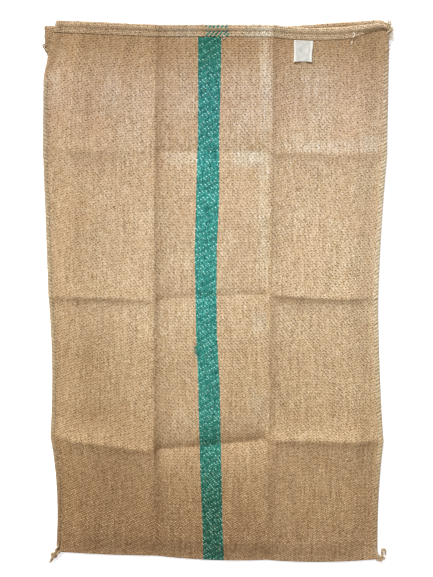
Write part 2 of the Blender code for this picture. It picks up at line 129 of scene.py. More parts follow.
def plan(row, column, front):
    """x and y: a straight blend of the four net points round the pair, plus a parabola that bows
    each edge, less the worn right corner, plus the slip of the front's left corner or the notch
    in the back's."""
    net, row_bows = NETS[front], ROW_BOWS[front]
    band = np.minimum(row.astype(int), 3)
    cell = np.minimum(column.astype(int), 2)
    down, across = (row - band)[..., None], (column - cell)[..., None]
    left = net[band, cell] * (1 - down) + net[band + 1, cell] * down
    right = net[band, cell + 1] * (1 - down) + net[band + 1, cell + 1] * down
    spot = left * (1 - across) + right * across
    down, across = down[..., 0], across[..., 0]
    bow_x = EDGE_BOWS[cell, band] * (1 - across) + EDGE_BOWS[cell + 1, band] * across
    bow_y = row_bows[band, cell] * (1 - down) + row_bows[band + 1, cell] * down
    x = spot[..., 0] + 4 * down * (1 - down) * bow_x
    y = spot[..., 1] + 4 * across * (1 - across) * bow_y
    worn = clamped((column - ROUND_FROM) / (3 - ROUND_FROM)) ** 2 * clamped(1 - row / ROUND_ROWS)
    y = y - ROUNDING * worn
    if front:
        slip = CORNER_SLIP * clamped(1 - row / CORNER_SLIP_SHARE)
    else:
        slip = NOTCH_DEPTH * bell(y - NOTCH_Y, NOTCH_REACH)
    return x + slip * clamped(1 - column) ** 1.5, y


# %% [markdown]
# ## Height over the floor
# A crease that was pressed in storage stands up as a ridge with a sharp top, so its section is a
# falling exponential, steep on one side and long on the other. In the middle column the cross
# folds went the other way and left troughs. The stitched sides pinch both panels together, and
# the mouth gapes a little at the right. These add up to one height for each point.

# %% Ridges, troughs and pinched edges
CLOTH_THICKNESS = 0.0018
HEM_TURN, HEM_STEP = 0.022, 0.0030
FRONT_LIFT, FRONT_EDGE_LIFT, BACK_EDGE_LIFT = 0.0155, 0.0053, 0.0018
SEAM_BAND, PINCH_REACH, FOLD_REACH, FOLD_LIFT = 0.008, 0.055, 0.050, 0.0058
# Left and right crease: the height at each of the five rows, and the reach on either side.
LENGTHWISE_RIDGES = (
    (0.0075, 0.0105, 0.0105, 0.0095, 0.0030), (0.0080, 0.0080, 0.0070, 0.0075, 0.0045)
)
LENGTHWISE_REACHES = ((0.050, 0.018), (0.045, 0.015))
# Each cross crease: the height at the left, middle and right, and the reach above and below.
CROSS_CREASES = (
    (0.0042, -0.0040, 0.0052, 0.050, 0.034), (0.0075, -0.0045, 0.0085, 0.090, 0.014),
    (0.0110, -0.0100, 0.0115, 0.026, 0.040)
)
TROUGH_REACHES = ((0.026, 0.030), (0.060, 0.018), (0.030, 0.028))  # below and above
SIDES, COLUMN_CHANGE = ("left", "right"), 0.015
SIDE_SHARE, SIDE_LIFT_REACH = 0.40, 0.030
BACK_RIDGE, BACK_REACH, BACK_EDGE_REACH = 0.0020, 0.014, 0.020
HEM_CLEARANCE, MOUTH_FLAT, MOUTH_LIFT = 0.003, 0.080, 0.0024
MOUTH_GAPE, GAPE_MIDDLE, GAPE_WIDTH, GAPE_DEPTH = 0.007, 0.185, 0.090, 0.090
TAIL_TRIM = 0.0002


def crest(distance, reach_minus, reach_plus):
    """1 at the crease, divided by e at one reach from it, with a reach for each side."""
    return np.exp(-np.abs(distance) / np.where(distance < 0, reach_minus, reach_plus))


def distances(row, column, front):
    """How far each point is from the sides, the creases, the mouth and the fold, in metres, and
    how free it is of the pinched sides, from 0 to 1."""
    x, y = plan(row, column, front)
    edges = [x - plan(row, np.full_like(column, n), front)[0] for n in range(4)]
    lines = [y - plan(np.full_like(row, n), column, front)[1] for n in range(5)]
    side = np.minimum(edges[0], -edges[3])
    return {"x": x, "y": y, "left": edges[1], "right": edges[2], "mouth": -lines[0],
            "cross": lines[1:4], "fold": lines[4], "foot": eased(lines[4] / FOLD_REACH),
            "side": side, "free": eased((side - SEAM_BAND) / PINCH_REACH)}


def by_column(at, left, middle, right):
    """A value for each column, changing softly over the lengthwise creases."""
    past = [eased(0.5 + at[crease] / (2 * COLUMN_CHANGE)) for crease in SIDES]
    return left + (middle - left) * past[0] + (right - middle) * past[1]


def cross_relief(at):
    """Sum over the cross creases of height times crest, the height changing column by column."""
    total = np.zeros_like(at["x"])
    for distance, crease, reaches in zip(at["cross"], CROSS_CREASES, TROUGH_REACHES):
        *heights, above, below = crease
        height = by_column(at, *heights)
        total += np.maximum(height, 0) * crest(distance, below, above)
        total += np.minimum(height, 0) * crest(distance, *reaches)
    return total * (SIDE_SHARE + (1 - SIDE_SHARE) * at["free"])


def front_height(row, column):
    """Middle of the front cloth: pinched lift, plus the root of both squared ridges, plus the
    troughs and the gape, all eased down to the bottom fold."""
    at = distances(row, column, True)
    ridge = sum(
        np.interp(row, range(5), heights) * crest(at[crease], *reaches)
        for crease, heights, reaches in zip(SIDES, LENGTHWISE_RIDGES, LENGTHWISE_REACHES)
    )
    cross = cross_relief(at)
    height = FRONT_EDGE_LIFT + (FRONT_LIFT - FRONT_EDGE_LIFT) * at["free"]
    height = height + np.hypot(ridge, np.maximum(cross, 0)) + np.minimum(cross, 0)
    gape = MOUTH_GAPE * bell(at["x"] - GAPE_MIDDLE, GAPE_WIDTH)
    height = height + (gape + MOUTH_LIFT) * np.exp(-at["mouth"] / GAPE_DEPTH)
    start = FRONT_EDGE_LIFT + (FOLD_LIFT - FRONT_EDGE_LIFT) * at["free"]
    return start + (height - start) * at["foot"]


def back_height(row, column):
    """Middle of the back cloth: flat on the floor but for low ridges, room for its own hem, and
    edges that the side stitches hold up."""
    at = distances(row, column, False)
    hem_room = HEM_STEP * (1 - eased((at["mouth"] - HEM_TURN - HEM_CLEARANCE) / BACK_EDGE_REACH))
    edge = BACK_EDGE_LIFT * (1 - eased((at["side"] - SEAM_BAND) / BACK_EDGE_REACH))
    near = [np.exp(-np.abs(d) / BACK_REACH) for d in [at["left"], at["right"]] + at["cross"]]
    ridge = BACK_RIDGE * clamped(1.1 * np.maximum.reduce(near) - 0.1)
    ridge = ridge * at["foot"] * eased(at["mouth"] / MOUTH_FLAT)
    lift = np.zeros_like(at["x"])
    for distance, (left, _, right, above, below) in zip(at["cross"], CROSS_CREASES):
        lift += np.where(column < 1.5, left, right) * SIDE_SHARE * crest(distance, below, above)
    lift = lift * (1 - eased((at["side"] - SEAM_BAND) / SIDE_LIFT_REACH))
    low = np.maximum.reduce([hem_room, edge, ridge])
    return CLOTH_THICKNESS / 2 + low + np.maximum(lift - TAIL_TRIM, 0)


# %% [markdown]
# ## Handling leaves the cloth uneven
# A sack that has been filled is never even between its creases. Random values on a square
# lattice, joined by eased steps, give soft bumps of any width: hand sized hollows, and small
# puckers where the stiff cloth did not lie down. Both die out towards the stitches.

# %% Soft bumps
HOLLOW_HEIGHT, HOLLOW_CELL = 0.0016, 0.085
PUCKER_HEIGHT, PUCKER_CELL = 0.00035, 0.022
LATTICE = 64
ROLL_HEIGHT, ROLL_INWARD, ROLL_WIDTH = 0.0030, 0.006, 0.010


def soft_bumps(x, y, cell, seed):
    """Random lattice values from -1 to 1, blended by eased shares between the four corners."""
    lattice = np.random.default_rng(seed).uniform(-1, 1, (LATTICE, LATTICE))
    i, j = np.floor(x / cell).astype(int), np.floor(y / cell).astype(int)
    s, t = eased(x / cell - i), eased(y / cell - j)
    below, above = (
        lattice[i % LATTICE, n % LATTICE] * (1 - s) + lattice[(i + 1) % LATTICE, n % LATTICE] * s
        for n in (j, j + 1)
    )
    return below * (1 - t) + above * t


def front_surface(row, column):
    """Height of the middle of the front cloth with everything added up: hollows and puckers,
    faded out near the seams and the fold, and a roll along the unsewn part of the left edge."""
    at = distances(row, column, True)
    bumps = HOLLOW_HEIGHT * soft_bumps(at["x"], at["y"], HOLLOW_CELL, 3)
    bumps = bumps + PUCKER_HEIGHT * soft_bumps(at["x"], at["y"], PUCKER_CELL, 4)
    roll = ROLL_HEIGHT * bell(at["side"] - ROLL_INWARD, ROLL_WIDTH) * (column < 1)
    roll = roll * eased(1.4 - 1.4 * row / CORNER_SLIP_SHARE)
    return front_height(row, column) + bumps * (at["free"] * at["foot"]) + roll


# %% [markdown]
# ## One length of cloth
# The sack is a single length: it starts at the front's raw edge, turns over as the hem, runs down
# the front, folds round the bottom, comes up as the back and ends in the back's hem. One grid
# follows that whole way, with rows closer together near the creases. The cloth's own flat
# coordinates go into a UV map in metres: u across, counted so that the dyed warp threads stay on
# the same u from end to end, and v along, added up from row to row.

# %% Rows and columns of the cloth
CROWDING = 0.085
FRONT_ROWS, BACK_ROWS, COLUMNS = 46, 22, (50, 46, 50)
HEM_ROWS, TURN_STEPS, FOLD_STEPS = 8, 6, 8
TURN_CLEARANCE = 0.0030  # the hem's flat part ends this far from the mouth, where its turn begins
RAW_EDGE_STEP = 0.0004  # the hem's raw edge is pressed into the panel
HEM_TAPER, TAPER_FROM, TAPER_TO = 0.55, 2.62, 2.97  # the hem runs out towards the right corner


def crowded(count):
    """Even shares less a sine wave, so that they lie closer together at both ends."""
    share = np.arange(count) / count
    return share - CROWDING * np.sin(2 * math.pi * share)


columns = np.concatenate([n + crowded(count) for n, count in enumerate(COLUMNS)] + [[3.0]])


def grid_of(rows):
    """Rows and columns as two arrays of the same shape."""
    return np.broadcast_arrays(np.reshape(rows, (-1, 1)).astype(float), columns)


def place(row, column, front, lift=0.0):
    """Points in the middle of one cloth, or lifted off it."""
    height = front_surface if front else back_height
    return np.stack([*plan(row, column, front), height(row, column) + lift], axis=-1)


def panel_points(rows, front):
    """Points of one panel, row by row."""
    return place(*grid_of(rows), front)


def half_circle(edge, radius, forward, upward, steps):
    """An edge carried round a half circle that ends where the edge lies."""
    angle = np.linspace(0, math.pi, steps + 1)[:, None]
    turn = np.repeat(edge[None], steps + 1, axis=0)
    turn[..., 1] += forward * radius * (np.sin(angle) - 1)
    turn[..., 2] += upward * radius * (1 + np.cos(angle))
    return turn


def hem_width(column):
    """Width of the front's hem, which eases off towards the right corner."""
    return HEM_TURN * (1 - HEM_TAPER * eased((column - TAPER_FROM) / (TAPER_TO - TAPER_FROM)))


def turned_hem(front):
    """The hem comes up from its raw edge to one step off its panel, and a half circle joins it to
    the mouth edge."""
    outward = 1 if front else -1
    step = HEM_STEP + (RAW_EDGE_STEP - HEM_STEP) * eased(np.linspace(1, -0.2, HEM_ROWS))[:, None]
    top = panel_points(0.0, front)[0]
    width = hem_width(columns) if front else HEM_TURN
    down = TURN_CLEARANCE + (width - TURN_CLEARANCE) * np.linspace(1, 0, HEM_ROWS)[:, None]
    share = down / (top[:, 1] - panel_points(1.0, front)[0][:, 1])
    hem = place(share, np.broadcast_to(columns, share.shape), front, outward * step)
    return np.concatenate([hem, half_circle(top, HEM_STEP / 2, 1, outward, TURN_STEPS)])


front_rows, back_rows = (
    np.concatenate([band + crowded(count) for band in range(4)])[1:]
    for count in (FRONT_ROWS, BACK_ROWS)
)
front_rows = front_rows[:-1]  # the last would lie within the fold's round
front_end, back_z = panel_points(4.0, True)[0], panel_points(4.0, False)[0, :, 2]
fold_radius = (front_end[:, 2] - back_z) / 2
fold_end = np.column_stack([front_end[:, :2], back_z])
fold = half_circle(fold_end, fold_radius, -1, 1, FOLD_STEPS)
parts = [turned_hem(True), panel_points(front_rows, True), fold,
         panel_points(back_rows[::-1], False), turned_hem(False)[::-1]]
cloth_grid = np.concatenate(parts) + NET_SHIFT
hem_end = len(parts[0])
print("cloth grid:", cloth_grid.shape[:2], "points")

# %% Flat coordinates of the cloth
# Millimetres: where the stripe's left and right edges run, from the mouth down.
STRIPE_Y = (560, 512, 407, 348, 210, 109, -56, -161, -268, -354, -464, -560)
STRIPE_LEFT = (-36, -36, -36, -37, -41, -44, -42, -38, -36, -34, -30, -28)
STRIPE_RIGHT = (9, 9, 7, 5, 5, 0, 0, 6, 8, 10, 12, 16)
HEM_SKEW = 0.015  # the hem was turned a little askew, which carries the stripe to the right
STRIPE_FROM, STRIPE_TO, CLOTH_WIDTH = 0.307, 0.3515, 0.684


def flat_across(grid):
    """u: straight shares from the left edge to the stripe, over it, and on to the right edge, so
    that the stripe has the same u everywhere."""
    x, y = grid[..., 0] - NET_SHIFT[0], grid[..., 1] - NET_SHIFT[1]
    skew = np.zeros((len(grid), 1))
    skew[:hem_end, 0] = HEM_SKEW * eased(np.linspace(2.2, 0, hem_end))
    left, right = (down_sack(y, np.array(STRIPE_Y) / 1000, np.array(edge) / 1000) + skew
                   for edge in (STRIPE_LEFT, STRIPE_RIGHT))
    start, end = x[:, :1], x[:, -1:]
    before = (x - start) / (left - start) * STRIPE_FROM
    within = STRIPE_FROM + (x - left) / (right - left) * (STRIPE_TO - STRIPE_FROM)
    after = STRIPE_TO + (x - right) / (end - right) * (CLOTH_WIDTH - STRIPE_TO)
    return np.where(x < left, before, np.where(x < right, within, after))


def added_up(steps, axis):
    """Running sums of steps, with the start's zero in front."""
    return np.insert(np.cumsum(steps, axis), 0, 0, axis)


def way_along(grid, axis):
    """v: lengths of the steps from point to point, added up."""
    return added_up(np.linalg.norm(np.diff(grid, axis=axis), axis=-1), axis)


cloth_uv = np.stack([flat_across(cloth_grid), way_along(cloth_grid, 0)], axis=-1)
print("cut of the cloth, metres:", CLOTH_WIDTH, "by", round(float(cloth_uv[-1, :, 1].mean()), 3))

# %% [markdown]
# ## From arrays to meshes
# Two small builders serve every piece. One turns a grid of points into four-sided faces, and the
# other carries a circle along many paths at once and makes closed tubes. Both store the flat
# coordinates in a UV map named "flat".

# %% Mesh builders
def finished(name, points, faces, uv, material):
    """A mesh object from arrays, smooth, with its UVs, its material and its place in the sack."""
    mesh = bpy.data.meshes.new(name)
    mesh.from_pydata(points.reshape(-1, 3).tolist(), [], faces)
    layer = mesh.uv_layers.new(name="flat")
    corners = np.empty(len(mesh.loops), int)
    mesh.loops.foreach_get("vertex_index", corners)
    layer.data.foreach_set("uv", uv.reshape(-1, 2)[corners].astype(np.float32).ravel())
    mesh.polygons.foreach_set("use_smooth", np.ones(len(mesh.polygons), bool))
    mesh.update()
    piece = bpy.data.objects.new(name, mesh)
    bpy.context.scene.collection.objects.link(piece)
    for finish in np.atleast_1d(material):
        mesh.materials.append(finish)
    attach(piece, "root")
    return piece


def grid_quads(rows, across):
    """Four corners for each square of a grid, turned so that faces point up from the panel."""
    index = np.arange(rows * across).reshape(rows, across)
    corner = [index[:-1, :-1], index[1:, :-1], index[1:, 1:], index[:-1, 1:]]
    return np.stack(corner, axis=-1).reshape(-1, 4).tolist()


def tubes(name, paths, radius, around, material, reference=(0, 0, 1), lobes=0.0, lay=0.01,
          squash=(1, 1)):
    """Rings carried along paths: the path's point plus the radius times cosine to the side and
    sine to the top, each times its squash. With lobes the radius swells twice round the ring and
    the swelling turns with the way along, like two plies laid together."""
    paths = np.asarray(paths, float)
    count, steps = paths.shape[:2]
    tangent = np.gradient(paths, axis=1)
    tangent /= np.linalg.norm(tangent, axis=-1, keepdims=True)
    side = np.cross(np.broadcast_to(np.asarray(reference, float), tangent.shape), tangent)
    side /= np.maximum(np.linalg.norm(side, axis=-1, keepdims=True), 1e-9)
    over = np.cross(tangent, side)
    along = way_along(paths, 1)[..., None]
    angle = np.linspace(0, 2 * math.pi, around, endpoint=False)
    size = np.broadcast_to(np.asarray(radius, float), (count, steps))[..., None]
    size = size * (1 + lobes * np.cos(2 * angle - 2 * math.pi * along / lay))
    side, over = side * squash[0], over * squash[1]
    ring = np.cos(angle)[:, None] * side[:, :, None] + np.sin(angle)[:, None] * over[:, :, None]
    points = paths[:, :, None] + size[..., None] * ring
    uv = np.stack(np.broadcast_arrays(angle / (2 * math.pi), along), axis=-1)
    index = np.arange(count * steps * around).reshape(count, steps, around)
    turned = np.roll(index, -1, axis=2)
    quads = [index[:, :-1], turned[:, :-1], turned[:, 1:], index[:, 1:]]
    faces = np.stack(quads, axis=-1).reshape(-1, 4).tolist()
    faces += index[:, 0, ::-1].tolist() + index[:, -1].tolist()
    return finished(name, points, faces, uv, material)


# %% [markdown]
# ## Colour and nodes
# Colours are picked as sRGB hex, as on a colour card, and one function turns them into the
# linear values that light is added up in. Another adds a node, sets it up and links its inputs,
# so each material reads as a list of steps.

# %% Colour and node helpers
def linear(code):
    """sRGB hex to linear: a small straight part, then the power 2.4."""
    parts = np.array([int(code[n : n + 2], 16) / 255 for n in (1, 3, 5)])
    return (*np.where(parts <= 0.04045, parts / 12.92, ((parts + 0.055) / 1.055) ** 2.4), 1.0)


# Which sockets the inputs go to, where they are not simply the first ones.
SOCKETS = {"FLOAT": (0, 2, 3), "RGBA": (0, 6, 7), "SCALE": (0, 3), "TexNoise": (0, 2, 3)}


def add(tree, kind, *inputs, take=0, stops=(), **settings):
    """One node, with an operation or what it mixes after a space. Inputs come in order, or by
    name in a dictionary. A socket is linked, and anything else is the value, with hex colours
    made linear. Stops are the places and colours of a ramp."""
    kind, mode = (kind + " ").split(" ")[:2]
    made = tree.nodes.new("ShaderNode" + kind)
    if mode:
        settings["data_type" if kind == "Mix" else "operation"] = mode
    for name, value in settings.items():
        setattr(made, name, value)
    for number, (place, code) in enumerate(stops):
        ramp = made.color_ramp.elements
        stop = ramp[number] if number < 2 else ramp.new(place)
        stop.position, stop.color = place, linear(code)
    given = inputs[0] if inputs and isinstance(inputs[0], dict) else None
    for name, value in (given or dict(zip(SOCKETS.get(mode or kind, range(9)), inputs))).items():
        if isinstance(value, bpy.types.NodeSocket):
            tree.links.new(value, made.inputs[name])
        else:
            made.inputs[name].default_value = linear(value) if isinstance(value, str) else value
    return made.outputs[2 if mode == "RGBA" else take] if len(made.outputs) else made


def new_finish(name):
    """An empty material, and the function that adds nodes to it."""
    finish = bpy.data.materials.new(name)
    finish.use_nodes = True
    finish.node_tree.nodes.clear()
    return finish, partial(add, finish.node_tree)


def surfaced(node, colour, relief, depth, strength, surface):
    """The last nodes of a finish: a relief of some depth, the shader over it, and the output."""
    relief = node("Bump", {"Height": relief, "Distance": depth, "Strength": strength})
    shader = node("BsdfPrincipled", {"Base Color": colour, "Normal": relief, **surface})
    node("OutputMaterial", shader)


# %% [markdown]
# ## Jute twill
# Each weft thread passes over one warp end and under two, one step farther along on every pick,
# so the long warp floats climb in diagonals. Each warp end is a pair of yarns. The repeat is
# three ends by three picks. The eye gets slanting rows of pale floats, darker pinholes between
# them, and no gloss, since jute is matt. The steps are the loom's own: warp and weft each have a
# height, an undulation along the yarn and a rounded section across it, and the higher one shows.
# The dyed stripe is in the warp only, so natural weft dots show through it. The outside and the
# inside of the cloth are one weave seen from its two faces, so one function makes both.

# %% Twill finish
END_MM, PICK_MM = 2.63, 3.23
NATURAL, NATURAL_DARK, NATURAL_PALE = "#c9b18f", "#a0825a", "#e3d3bb"
RUSSET = "#c29c7d"  # retted longer: patches a little redder
WEFT_PALE = "#e5d8c1"  # the weft is spun softer, and its dots between the floats are paler
GREEN, GREEN_DARK = "#3d9d93", "#1e625d"
PALE_WEFT_DOT = "#e9d3ac"
DYED_WEFT = "#b0eee6"  # natural weft that dye has rubbed off on
# The gaps' dark colours are painted shade: the dark seen in pinholes and slits between yarns.
GAP, GREEN_GAP = "#462608", "#0a4a44"
APART = 5.37  # spreads neighbouring yarns over the noise, so that each has its own value


def spread(node, spot, random_share):
    """Remainder of a sum of both counts times two shares with no common measure, plus some
    chance: values from 0 to 1 that rarely repeat next to each other."""
    steps = node("VectorMath DOT_PRODUCT", spot, (0.7549, 0.5698, 0.0), take=1)
    total = node("Math MULTIPLY_ADD", node("TexWhiteNoise", spot), random_share, steps)
    return node("Math FRACT", total)


def twill(name, face):
    """Twill seen from its face (+1) or its reverse (-1)."""
    finish, node = new_finish(name)
    flat = node("UVMap", uv_map="flat")
    wander = node("VectorMath SUBTRACT", node("TexNoise", flat, 28.0, 2.0, take=1), (0.5,) * 3)
    spot = node("VectorMath ADD", flat, node("VectorMath SCALE", wander, 0.0016))
    counted = node("VectorMath MULTIPLY", spot, (1000 / END_MM, 1000 / PICK_MM, 0.0))
    across, along = (node("SeparateXYZ", counted, take=n) for n in (0, 1))
    end, pick = node("Math FLOOR", across), node("Math FLOOR", along)

    # Undulation: distance, in ends or picks, from the place where the weft comes over the warp.
    warp_way = node("Math SUBTRACT", node("Math SUBTRACT", along, 0.5), end)
    weft_way = node("Math SUBTRACT", node("Math SUBTRACT", across, 0.5), pick)
    warp_wave, weft_wave = (
        node("MapRange", node("Math PINGPONG", way, 1.5), 0.15, 1.0, -0.5 * sign, 0.5 * sign,
             interpolation_type="SMOOTHSTEP")
        for way, sign in ((warp_way, face), (weft_way, -face))
    )

    # Sections: two yarns side by side in each end, one thick yarn in each pick. In the stripe,
    # which is a run of whole ends, the dyed warp is set closer and leaves smaller weft dots.
    # On the reverse only the dyed warp's short floats show, between natural weft.
    middle_end = (STRIPE_FROM + STRIPE_TO) / 2 * 1000 / END_MM
    half_ends = (STRIPE_TO - STRIPE_FROM) / 2 * 1000 / END_MM
    closer, firmer = (0.40, -0.38) if face > 0 else (0.22, 0.10)
    in_stripe = node("Math COMPARE", node("Math ADD", end, 0.5), middle_end, half_ends)
    end_share, pair_share, pick_share = (
        node("Math SUBTRACT", node("Math FRACT", way), 0.5)
        for way in (across, node("Math MULTIPLY", across, 2.0), along)
    )
    pair_drop, pick_drop = (node("Math MULTIPLY", way, way) for way in (pair_share, pick_share))
    crossing = node("CombineXYZ", end, pick, 3.0)
    luck = spread(node, crossing, 0.5)
    warp_top = node("Math MULTIPLY_ADD", pair_drop, -0.8, warp_wave)
    warp_top = node("Math MULTIPLY_ADD", node("Math POWER", end_share, 4.0), -8.4, warp_top)
    warp_top = node("Math MULTIPLY_ADD", in_stripe, closer, warp_top)
    warp_top = node("Math ADD", warp_top, 0.16)
    weft_top = node("Math MULTIPLY_ADD", pick_drop, -3.2, weft_wave)
    slack = node("Math MULTIPLY_ADD", in_stripe, firmer, -0.26)
    weft_top = node("Math MULTIPLY_ADD", luck, slack, weft_top)
    height = node("Math MAXIMUM", warp_top, weft_top)
    warp_shows = node("Math GREATER_THAN", warp_top, weft_top)
    wave_shown = node("Mix FLOAT", warp_shows, weft_wave, warp_wave)

    # Each float has its own shade, each yarn too, and fine fibres streak them.
    float_number = node("Math FLOOR", node("Math DIVIDE", warp_way, 3.0))
    float_shade = node("TexWhiteNoise", node("CombineXYZ", end, float_number, 0.0))
    shade = node("Mix FLOAT", warp_shows, luck, float_shade)
    yarn_spot = node("VectorMath MULTIPLY_ADD", counted, (2.0, 1.0, 0.0), (0.0, 0.0, 11.0))
    yarn_spot = node("VectorMath FLOOR", yarn_spot)
    slow_spot = node("VectorMath MULTIPLY", counted, (0.0, 0.035, 0.0))
    long_spot = node("VectorMath MULTIPLY_ADD", yarn_spot, (APART, 0.0, 1.0), slow_spot)
    yarn_shade = node("MapRange", node("TexNoise", long_spot, 1.0, 1.0), 0.30, 0.70, 0.0, 1.0)
    wide_spot = node("VectorMath MULTIPLY", counted, (0.05, 1.0, 1.0))
    pick_shade = node("TexNoise", wide_spot, 0.9, 1.0)
    lane_shade = node("Mix FLOAT", 0.25, yarn_shade, pick_shade)
    patch = node("TexNoise", flat, 9.0, 2.0)
    fibre = node("TexNoise", flat, 900.0, 2.0)
    single_shade = spread(node, yarn_spot, 0.6)
    for share, other in ((0.6, single_shade), (0.22, lane_shade), (0.15, patch), (0.10, fibre)):
        shade = node("Mix FLOAT", share, shade, other)
    natural = node("ValToRGB", shade,
                   stops=((0.18, NATURAL_DARK), (0.82, NATURAL_PALE), (0.5, NATURAL)))
    red_share = node("MapRange", node("TexNoise", flat, 14.0, 3.0), 0.35, 0.70, 0.0, 0.35)
    natural = node("Mix RGBA", red_share, natural, RUSSET)
    soft_weft = node("Mix RGBA", 0.12, natural, WEFT_PALE)
    plain = node("Mix RGBA", warp_shows, soft_weft, natural)
    rubbed = node("MapRange", luck, 0.05, 0.85, 1.0, 0.05)
    dot = node("Mix RGBA", rubbed, GREEN, DYED_WEFT) if face > 0 else soft_weft
    dyed = node("ValToRGB", shade, stops=((0.3, GREEN_DARK), (0.7, GREEN)))
    green = node("Mix RGBA", warp_shows, dot, dyed)
    colour = node("Mix RGBA", in_stripe, plain, green)

    # Pinholes where both yarns are low. Each corner between yarns has its own depth under which
    # it is open, and on worn cloth the one on the diagonal, between two weft dots, is the widest.
    # Slits open where two ends have parted.
    worn = node("Attribute", attribute_name="tone", take=3)
    corner_spot = node("VectorMath FLOOR", node("VectorMath ADD", counted, (0.5, 0.5, 7.0)))
    corner_luck = spread(node, corner_spot, 0.3)
    corner_y, corner_x = (node("SeparateXYZ", corner_spot, take=n) for n in (1, 0))
    corner_step = node("Math FLOORED_MODULO", node("Math SUBTRACT", corner_y, corner_x), 3.0)
    on_diagonal = node("Math MULTIPLY", node("Math COMPARE", corner_step, 0.0, 0.5), worn)
    tight = node("Math MULTIPLY_ADD", node("Math POWER", corner_luck, 2.0), 0.48, -0.28)
    wide = node("Math MULTIPLY_ADD", corner_luck, 0.26, -0.12)
    lane_spot = node("VectorMath MULTIPLY_ADD", corner_spot, (APART, 0.0, 1.0), slow_spot)
    looseness = node("MapRange", node("TexNoise", lane_spot, 1.0, 1.0), 0.32, 0.68, -0.12, 0.12)
    depth = node("Math ADD", node("Mix FLOAT", on_diagonal, tight, wide), looseness)
    depth = node("Math MULTIPLY_ADD", worn, 0.12, depth)
    ragged = node("Math MULTIPLY_ADD", fibre, 0.30, height)
    hole = node("MapRange", node("Math SUBTRACT", ragged, depth), 0.02, 0.35, 0.87, 0.0)
    slit_spot = node("VectorMath MULTIPLY", corner_spot, (1.0, 0.0, 0.0))
    slit_spot = node("VectorMath MULTIPLY_ADD", counted, (0.0, 0.25, 0.0), slit_spot)
    parted = node("MapRange", node("TexNoise", slit_spot, 1.0, 1.0), 0.60, 0.76, 0.0, 0.75)
    slit = node("MapRange", node("Math PINGPONG", across, 0.5), 0.06, 0.24, 1.0, 0.0)
    hole = node("Math MAXIMUM", hole, node("Math MULTIPLY", slit, parted))
    # Painted shade: pinholes and slits take a dark colour for the shade in them.
    colour = node("Mix RGBA", hole, colour, node("Mix RGBA", in_stripe, GAP, GREEN_GAP))
    tone = node("Attribute", attribute_name="tone")
    colour = node("Mix RGBA", 1.0, colour, tone, blend_type="MULTIPLY")

    # Some weft dots are paler than the rest, more where the weave is worn.
    pale_share = node("TexWhiteNoise", node("VectorMath ADD", crossing, (0.0, 0.0, 4.0)))
    pale_share = node("Math MULTIPLY", node("MapRange", pale_share, 0.0, 0.95, 0.26, 0.66), worn)
    bare = node("Math MULTIPLY_ADD", node("Math ADD", warp_shows, hole), -1.0, 1.0)
    pale_share = node("Math MULTIPLY", pale_share, node("Math MAXIMUM", bare, 0.0))
    pale_dot = DYED_WEFT if face > 0 else PALE_WEFT_DOT
    colour = node("Mix RGBA", pale_share, colour, node("Mix RGBA", in_stripe, PALE_WEFT_DOT, pale_dot))
    hairy = node("Math MULTIPLY_ADD", fibre, 0.12, height)
    hairy = node("Math MULTIPLY_ADD", wave_shown, -0.65, hairy)
    surfaced(node, colour, hairy, 0.0009, 1.0, {"Roughness": 0.92, "Specular IOR Level": 0.08,
             "Sheen Weight": 0.08, "Sheen Tint": "#d8b890"})
    return finish


twill_face = twill("jute twill woven two up one down, face", 1)
twill_reverse = twill("jute twill woven two up one down, reverse", -1)
print("twill repeat, mm:", round(3 * END_MM, 2), "by", round(3 * PICK_MM, 2))

# %% [markdown]
# ## The cloth as a piece
# The grid becomes one open sheet and Solidify gives it its 1.8 mm about its middle. The inner
# side takes the second material, which is how the turned hem shows the reverse of the weave. A
# "tone" on each point darkens the cloth with painted shade, where light falls off towards the
# mouth and the foot, in lines along the creases and over the foot, and with dust at the foot. It
# pales the cloth where it is rubbed and with painted light on slopes and folds that face the light.
# Its fourth number says how worn and open the weave is there.

# %% Sack cloth
TONE_POWERS = (1.0, 1.35, 1.75)  # dust and painted shade take more green than red, most of the blue
RUBBED_LIFT = (0.06, 0.17, 0.31)  # pale patches, rubbed and painted light, lift it in the same order
# The tone down the sack, which paints light falling off: shade near the mouth and towards the
# foot, with dust at the foot. Then how far it leans to the right, and how much the blue is scaled.
TONE_Y = (0.56, 0.51, 0.45, 0.34, 0.20, 0, -0.12, -0.26, -0.31, -0.42, -0.49, -0.51, -0.532)
TONE_AT = (0.66, 0.68, 0.87, 0.93, 1.01, 1.01, 0.91, 0.84, 0.78, 0.61, 0.53, 0.56, 0.59)
LEAN_Y, LEAN_AT = (0.45, 0.36, -0.10, -0.30), (0.035, 0.060, 0.075, 0.070)
SKY_Y = (0.50, 0.42, 0.35, 0.25, 0.03, -0.15, -0.45, -0.53)
SKY_AT = (1, 1.10, 1.04, 0.99, 0.97, 0.94, 0.94, 0.98)
MIDDLE_PALING, MIDDLE_X, MIDDLE_WIDTH, LEAST_WORN = 0.075, -0.070, 0.110, 0.30
# Painted highlight: paler on the slope left of the right crease near the mouth, which faces the light.
CREASE_PAINTED_LIGHT, CREASE_X, CREASE_WIDTH = 0.21, 0.094, 0.013
LEFT_EDGE_TONE, HEM_TONE, HEM_FOLD_PAINTED_LIGHT = 0.05, 0.34, 0.08
# Painted shade: a darker line just below each cross crease and beside each lengthwise crease.
CREASE_SHADE_LINES = ((0.02, 0.02, 0.03), (0.08, 0.05, 0.10), (0.12, 0.17, 0.12))  # left, middle, right
SHADE_LINE_AT, SHADE_LINE_WIDTH = (-0.005, -0.006, -0.006), (0.006, 0.007, 0.008)
# Painted shade over the foot, which falls away from the light.
FOOT_SHADE, FOOT_END = (0.13, 0.0, 0.10), (0.04, 0.09, -0.02)  # at the crease and at the fold
FOOT_START, FOOT_REACH = 0.010, 0.16
LENGTHWISE_SHADE_LINES, BESIDE, BESIDE_WIDTH = (0.09, 0.06), 0.005, 0.010
